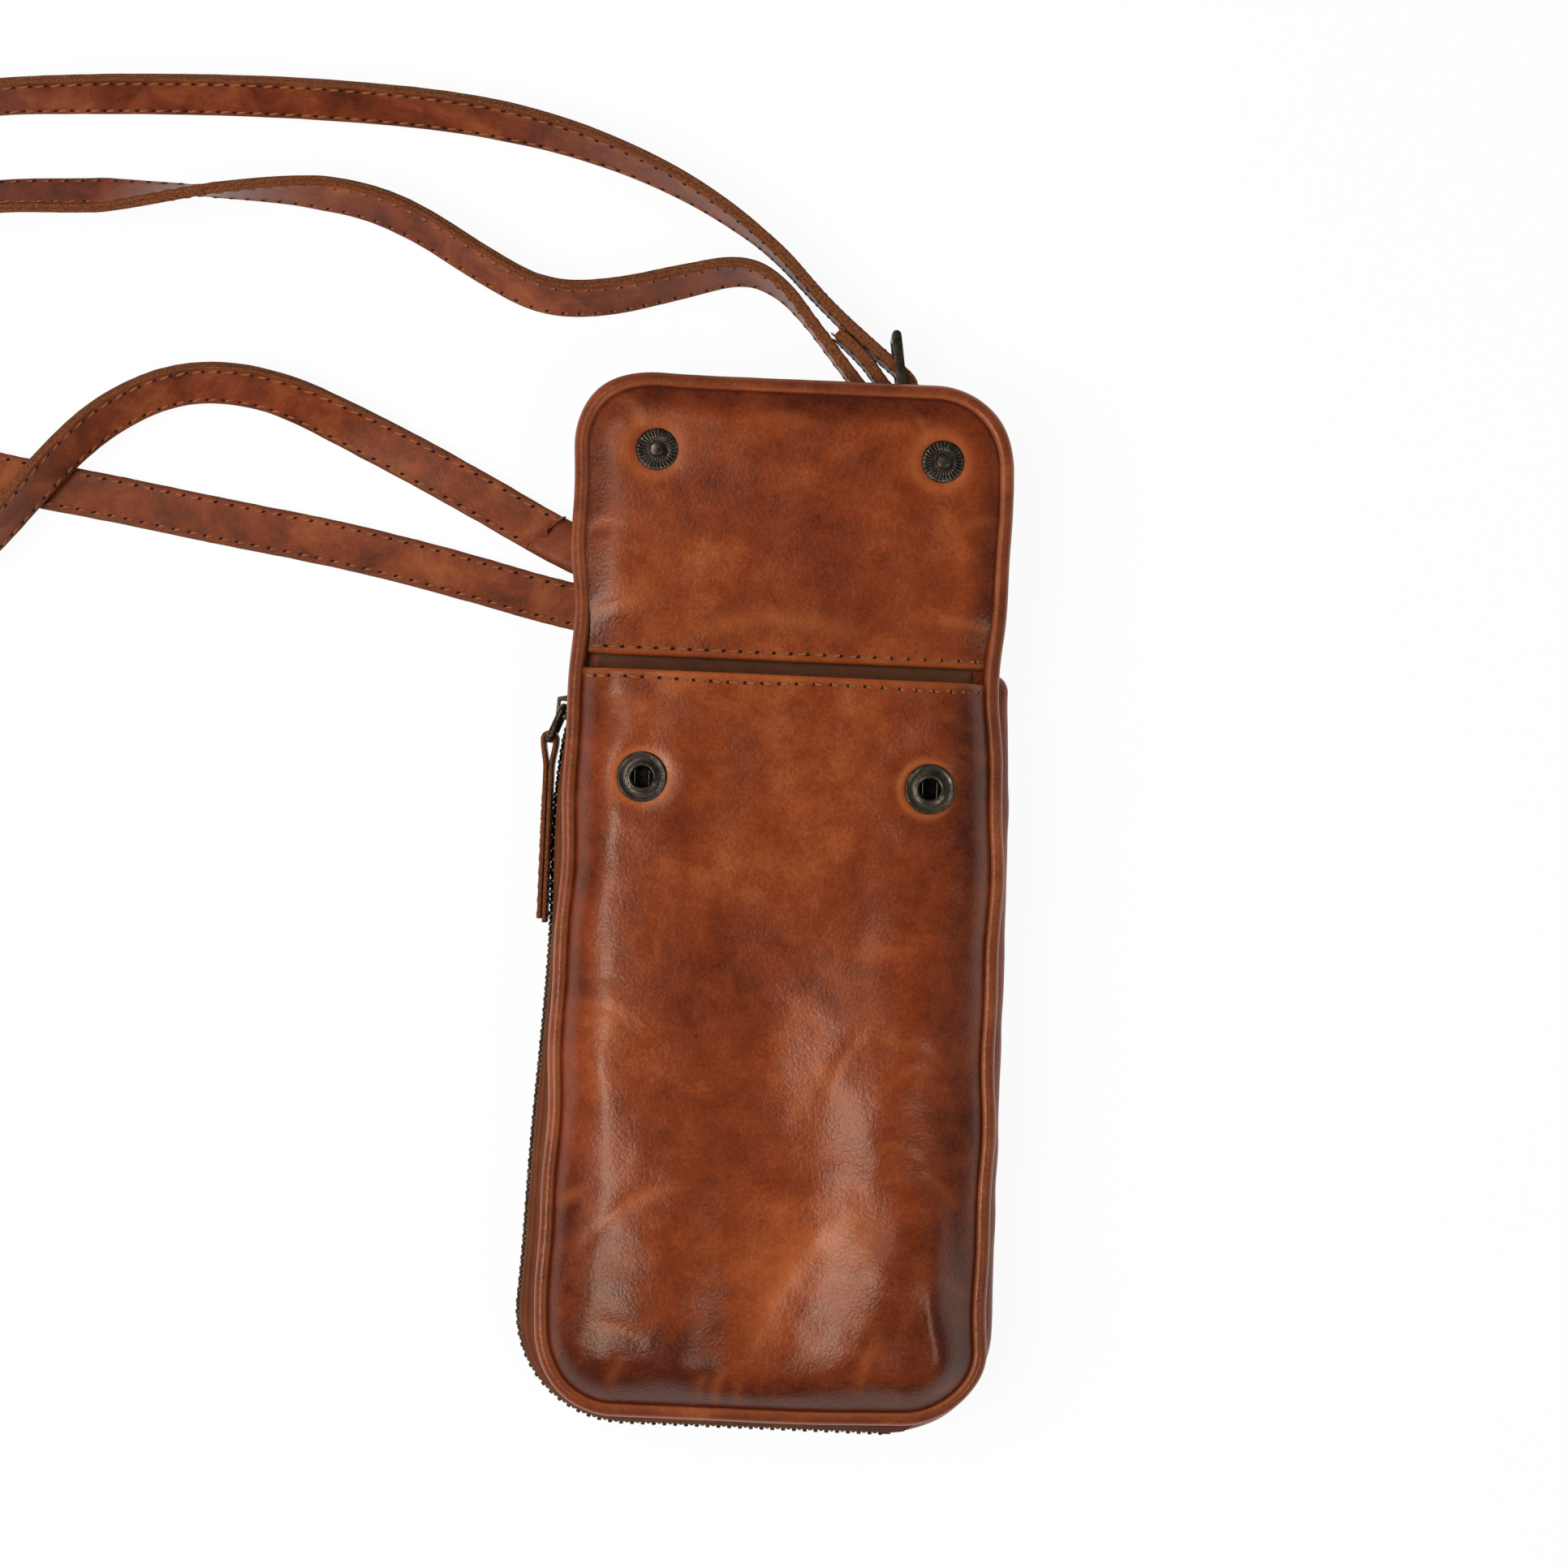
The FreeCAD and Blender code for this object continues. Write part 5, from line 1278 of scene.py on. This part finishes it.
puller_plan = fold_path(start_reach=49.2, turn_radius=1.7, end_reach=48.2, tail_gap=0.7, neck=8.0)
puller_path = places(fold[0] + puller_plan[:, 0], fold[1] + puller_plan[:, 1], chain_z)
puller = folded_strip("zip_puller_leather", puller_path, (0, 0, 1), width=10.0, thickness=1.25, seed=71)
dress(puller, strap_finish, "zip_puller", "strap_leather", "zip_puller")
tab_plan = fold_path(start_reach=6.6, turn_radius=2.1, end_reach=6.6, tail_gap=2.1, neck=3.0)
for side, sign in SIDES:
    tab_path = places(sign * ring_x, ring_low + tab_plan[:, 1], ring_z + tab_plan[:, 0])
    tab = folded_strip("ring_tab_leather_" + side, tab_path, (1, 0, 0), width=12.4, thickness=1.45, seed=72)
    dress(tab, strap_finish, "pouch", "cognac_leather", "ring_tab_" + side)
print("puller and tabs folded")

# %% [markdown]
# ## Press snaps
# Each snap has a socket with a wide flange on the pocket, a stud on the flap with a serrated flange, and
# a plate and a cap on the far sides of the leather. All are turned parts, so each profile is spun round
# an upright axis. The socket's flange has a rolled rim and a plain ring between two lips.

# %% Press snaps
def spun(name, profile, x, y, steps=64, ripple=None):
    """A profile of (radius, height) spun round an upright axis; ripple lifts it by angle and radius."""
    radius, height = np.array(profile, float).T
    turn = full_turn(steps)[:, None]
    if ripple:
        height = height + ripple(turn, radius)
    points = places(x + radius * np.cos(turn), y + radius * np.sin(turn), height)
    obj = face_out(new_piece(name, points, grid_faces(steps, len(profile), True, True)), merge=0.001)
    obj.data.set_sharp_from_angle(angle=math.radians(50))
    return obj


def serrations(turn, radius):
    ring = smooth_step(3.2, 3.8, radius) * smooth_step(5.6, 5.2, radius)
    return 0.22 * np.maximum(np.cos(turn * 30), -0.4) * ring


socket_profile = (
    (2.9, 30.75), (2.85, 31.5), (3.0, 31.85), (3.35, 31.98), (3.75, 31.86), (4.05, 31.66), (5.5, 31.58),
    (5.85, 31.72), (6.2, 31.86), (6.5, 31.72), (6.65, 31.4), (6.6, 31.05), (6.2, 30.9), (4.2, 30.8),
    (4.2, 27.5), (3.5, 27.5), (3.5, 30.7))
stud_profile = (
    (0.0, 17.0), (1.5, 17.0), (1.5, 23.3), (5.3, 23.35), (5.65, 23.55), (5.7, 23.85), (5.5, 24.1),
    (5.1, 24.2), (4.7, 24.2), (4.2, 24.2), (3.7, 24.2), (3.3, 24.18), (2.5, 24.05), (1.85, 24.2),
    (1.75, 25.2), (1.9, 25.8), (2.18, 26.2), (2.2, 26.6), (1.95, 27.0), (1.4, 27.18), (0.0, 27.2))
cap_profile = ((0.0, 15.8), (4.4, 15.82), (5.4, 16.0), (6.0, 16.35), (6.25, 16.8), (6.15, 17.0), (0.0, 17.0))
plate_profile = ((0.0, 26.8), (5.7, 26.82), (6.0, 27.0), (5.95, 27.35), (5.6, 27.5), (0.0, 27.5))
# The plate's near-black finish paints the shade inside the socket's hole.
snap_parts = (("socket", gunmetal, "pouch", socket_profile, socket_y),
              ("plate", plate_hole_shade, "pouch", plate_profile, socket_y),
              ("stud", gunmetal, "flap", stud_profile, stud_y, 120, serrations),
              ("cap", gunmetal, "flap", cap_profile, stud_y))
for side, sign in SIDES:
    for part, finish, body, shape, y, *more in snap_parts:
        snap = spun(f"snap_{part}_metal_{side}", shape, sign * snap_x, y, *more)
        dress(snap, finish, body, "antique_metal", f"snap_{part}_{side}")
print("snaps turned")

# %% [markdown]
# ## Snap springs
# Inside the socket's hole an S of spring wire grips the stud. Each half of it is a straight leg beside
# the stud's neck that is carried on round the rim of the hole, and the second is the first turned by half
# a turn.

# %% Snap springs
spring_z, spring_radius, spring_rim, spring_leg, spring_sides = 30.35, 0.3, 3.0, 1.9, 8
spring_bend = np.linspace(math.radians(130), math.radians(20), 14)
spring_straight = -2.1 + 4.2 * np.linspace(0, 1, 8)[:-1]
spring_x = np.concatenate([np.full(len(spring_straight), -spring_leg), spring_rim * np.cos(spring_bend)])
spring_y = np.concatenate([spring_straight, spring_rim * np.sin(spring_bend)])
spring_rows = len(spring_x)
leg_faces = tube_faces(spring_rows, spring_sides)
spring_faces = leg_faces + [[i + spring_rows * spring_sides for i in face] for face in leg_faces]
for side, sign in SIDES:
    legs = []
    for way in (1, -1):
        line = places(sign * snap_x + way * spring_x, socket_y + way * spring_y, spring_z)
        ahead = unit(np.gradient(line, axis=0))
        legs.append(wire_rings(line, ahead, (0, 0, 1), spring_radius, spring_sides))
    spring = face_out(new_piece("snap_spring_wire_" + side, legs, spring_faces))
    dress(spring, steel, "pouch", "spring_steel", "snap_spring_" + side)
print("springs bent")

# %% [markdown]
# ## Stitches
# Saddle stitching is a row of short slanted threads that sink a little into the leather. One tree makes every
# row: it spaces points along a line, lays a rounded thread on each in the line's direction and the
# surface's, and varies their length and slant a little with a fixed seed.

# %% Stitch tree
stitch_tree, stitch, given = new_tree("stitch_row", (
    ("Pitch", "Float", 4.5 * MM), ("Thread Length", "Float", 3.2 * MM), ("Thread Width", "Float", 0.8 * MM),
    ("Slant", "Float", 0.18), ("Start", "Float", 0.0), ("Thread", "Material", None)))
wide = given["Thread Width"]
stitch_curve = stitch.node("GeometryNodeMeshToCurve", None, {"Mesh": stitch})
stitch_curve = stitch.node("GeometryNodeTrimCurve", {"mode": "LENGTH"},
                           {0: stitch_curve, 4: given["Start"], 5: 99.0})
upward = stitch.node("GeometryNodeInputNamedAttribute", {"data_type": "FLOAT_VECTOR"}, {"Name": "up"})
chance = stitch.node("FunctionNodeRandomValue", {"data_type": "FLOAT"}, {2: -1.0, 3: 1.0, "Seed": 7}, 1)
tilt = stitch.node("ShaderNodeCombineXYZ", None, {"Z": given["Slant"] + chance * 0.05, "Y": chance * 0.04})
lie = turned(upward, stitch.node("GeometryNodeInputTangent"), "ZX", tilt)
bead_segments, bead_rings = 8, 5
bead = stitch.node("GeometryNodeMeshUVSphere", None,
                   {"Segments": bead_segments, "Rings": bead_rings, "Radius": 0.5})
bead = stitch.node("GeometryNodeSetShadeSmooth", None, {0: bead})
bead_size = {"X": given["Thread Length"] * (1.0 + chance * 0.08), "Y": wide, "Z": wide * 0.8}
bead_size = stitch.node("ShaderNodeCombineXYZ", None, bead_size)
set_row(stitch_tree, stitch_curve, given["Pitch"], given["Thread"], Instance=bead, Rotation=lie,
        Scale=bead_size)


def sew(name, lines, ups, body, slot, pitch, length, width, slant):
    """A row of threads, and a row of dark beads that paint the shade in the needle holes between them."""
    rows = ((name, length, width, 0.0, thread),
            (name + "_holes", (pitch - length) * 1.1, width * 1.15, pitch / 2, hole_shade_beads))
    made = []
    for label, long, broad, start, finish in rows:
        row = run_tree(label, stitch_tree, lines, "up", ups, {
            "Pitch": pitch * MM, "Slant": slant, "Thread Length": long * MM, "Thread Width": broad * MM,
            "Start": start * MM, "Thread": finish})
        made.append(dress(row, finish, body, slot))
    print(name, len(made[0].data.polygons) // (bead_segments * bead_rings), "stitches")
    return made


print("stitch tree:", len(stitch_tree.nodes), "nodes")

# %% [markdown]
# ## Stitches on the strap
# The strap is sewn along both edges, and the thread shows on both faces, so four rows follow its line.

# %% Stitches on the strap
row_out, row_up = 4.75, 1.38
stitch_lines, stitch_ups = [], []
for edge in (-1, 1):
    for face in (-1, 1):
        stitch_lines.append(strap_line + strap_across * (edge * row_out) + strap_through * (face * row_up))
        stitch_ups.append(strap_through * face)
strap_sewing, strap_hole_shade = sew("strap_stitches", stitch_lines, stitch_ups, "pouch", "strap_leather",
                                pitch=4.4, length=3.1, width=0.75, slant=0.2)

# %% [markdown]
# ## Splice
# The hide isn't long enough for the whole strap, so two lengths overlap and are sewn through. The upper one
# ends in a slanted cut with a frayed edge. A short layer is laid on the strap's own frames.

# %% Splice
splice_half, splice_length, splice_spot = 6.1, 34.0, (-70.0, 98.4)
splice_at = int(np.argmin(np.linalg.norm(strap_line[:, :2] - splice_spot, axis=1)))
splice_way = 1 if strap_line[splice_at + 20, 0] > strap_line[splice_at, 0] else -1
splice_reach = abs(strap_reach - strap_reach[splice_at])
splice_rows = [splice_at]
while splice_reach[splice_rows[-1] + splice_way] < splice_length:
    splice_rows.append(splice_rows[-1] + splice_way)
splice_cols = np.linspace(-splice_half, splice_half, 15)
reach = splice_reach[splice_rows][:, None]
slant = np.maximum(0.0, 5.5 * (splice_cols + splice_half) / (2 * splice_half) - reach)
lift = 1.5 + 1.15 * (1.0 - (abs(splice_cols) / splice_half) ** 8) - 1.35 * smooth_step(24.0, 33.0, reach)
splice_up = strap_through[splice_rows] * np.sign(strap_through[splice_rows][:, 2:])
splice_points = rings_along(strap_line[splice_rows], strap_across[splice_rows], splice_up, splice_cols, lift)
splice_points += strap_ahead[splice_rows][:, None] * (splice_way * slant[:, :, None])
splice = new_piece("strap_splice", splice_points, grid_faces(*lift.shape))
if sum(face.normal.z for face in splice.data.polygons) < 0:
    splice.data.flip_normals()
splice_raw = np.tile(abs(splice_cols) > 5.6, (len(splice_rows), 1))
splice_raw[0] = True
set_values(splice, raw=splice_raw, side=splice_cols / (strap_width / 2))
thicken(splice, 1.1)
dress(splice, strap_finish, "pouch", "strap_leather")
print("splice rows:", len(splice_rows), "from", np.round(strap_line[splice_at], 1))

# %% [markdown]
# ## Stitches on the pocket, the flap and the puller
# The hem at the mouth, the facing's edge at the fold and the puller are sewn too. The first two rows take
# their heights from the grids that they lie on.

# %% Stitches on the pocket, the flap and the puller
def on_grid(x, y, z, line_x, line_y):
    """A line across a panel's grid at its heights, with the upward direction."""
    rows = np.minimum(np.searchsorted(y[:, 0], line_y), len(y) - 1)
    heights = [np.interp(place, x[row], z[row]) for place, row in zip(line_x, rows)]
    line = drifted(places(line_x, line_y, heights))
    return [line], [unit(np.cross(np.gradient(line, axis=0), (0.0, 1.0, 0.0)))]


hem_x, flap_x = np.linspace(-53.0, 53.0, 160), np.linspace(-52.0, 52.0, 160)
hem_y, flap_y = 57.6 + 0.25 * np.sin(hem_x / 9.0), np.full(len(flap_x), 65.9)
hem = on_grid(panel_x, panel_y, panel_z, hem_x, hem_y)
sew("mouth_stitches", *hem, "pouch", "cognac_leather", pitch=4.4, length=3.3, width=0.85, slant=-0.12)
flap_edge = on_grid(face_x, face_y, face_z, flap_x, flap_y)
sew("flap_edge_stitches", *flap_edge, BEND, "cognac_leather", pitch=4.4, length=3.2, width=0.8,
    slant=0.12)
puller_y = np.linspace(fold[1] - 16.0, fold[1] - 47.0, 30)
puller_rows = [(height, out) for height in (6.0, 12.8) for out in (1.0, -1.0)]
puller_lines = [places(fold[0] + out * 1.3, puller_y, height) for height, out in puller_rows]
puller_ups = [np.tile([out, 0.0, 0.0], (len(puller_y), 1)) for height, out in puller_rows]
sew("puller_stitches", puller_lines, puller_ups, "zip_puller", "strap_leather", pitch=3.6, length=2.6,
    width=0.6, slant=0.15)
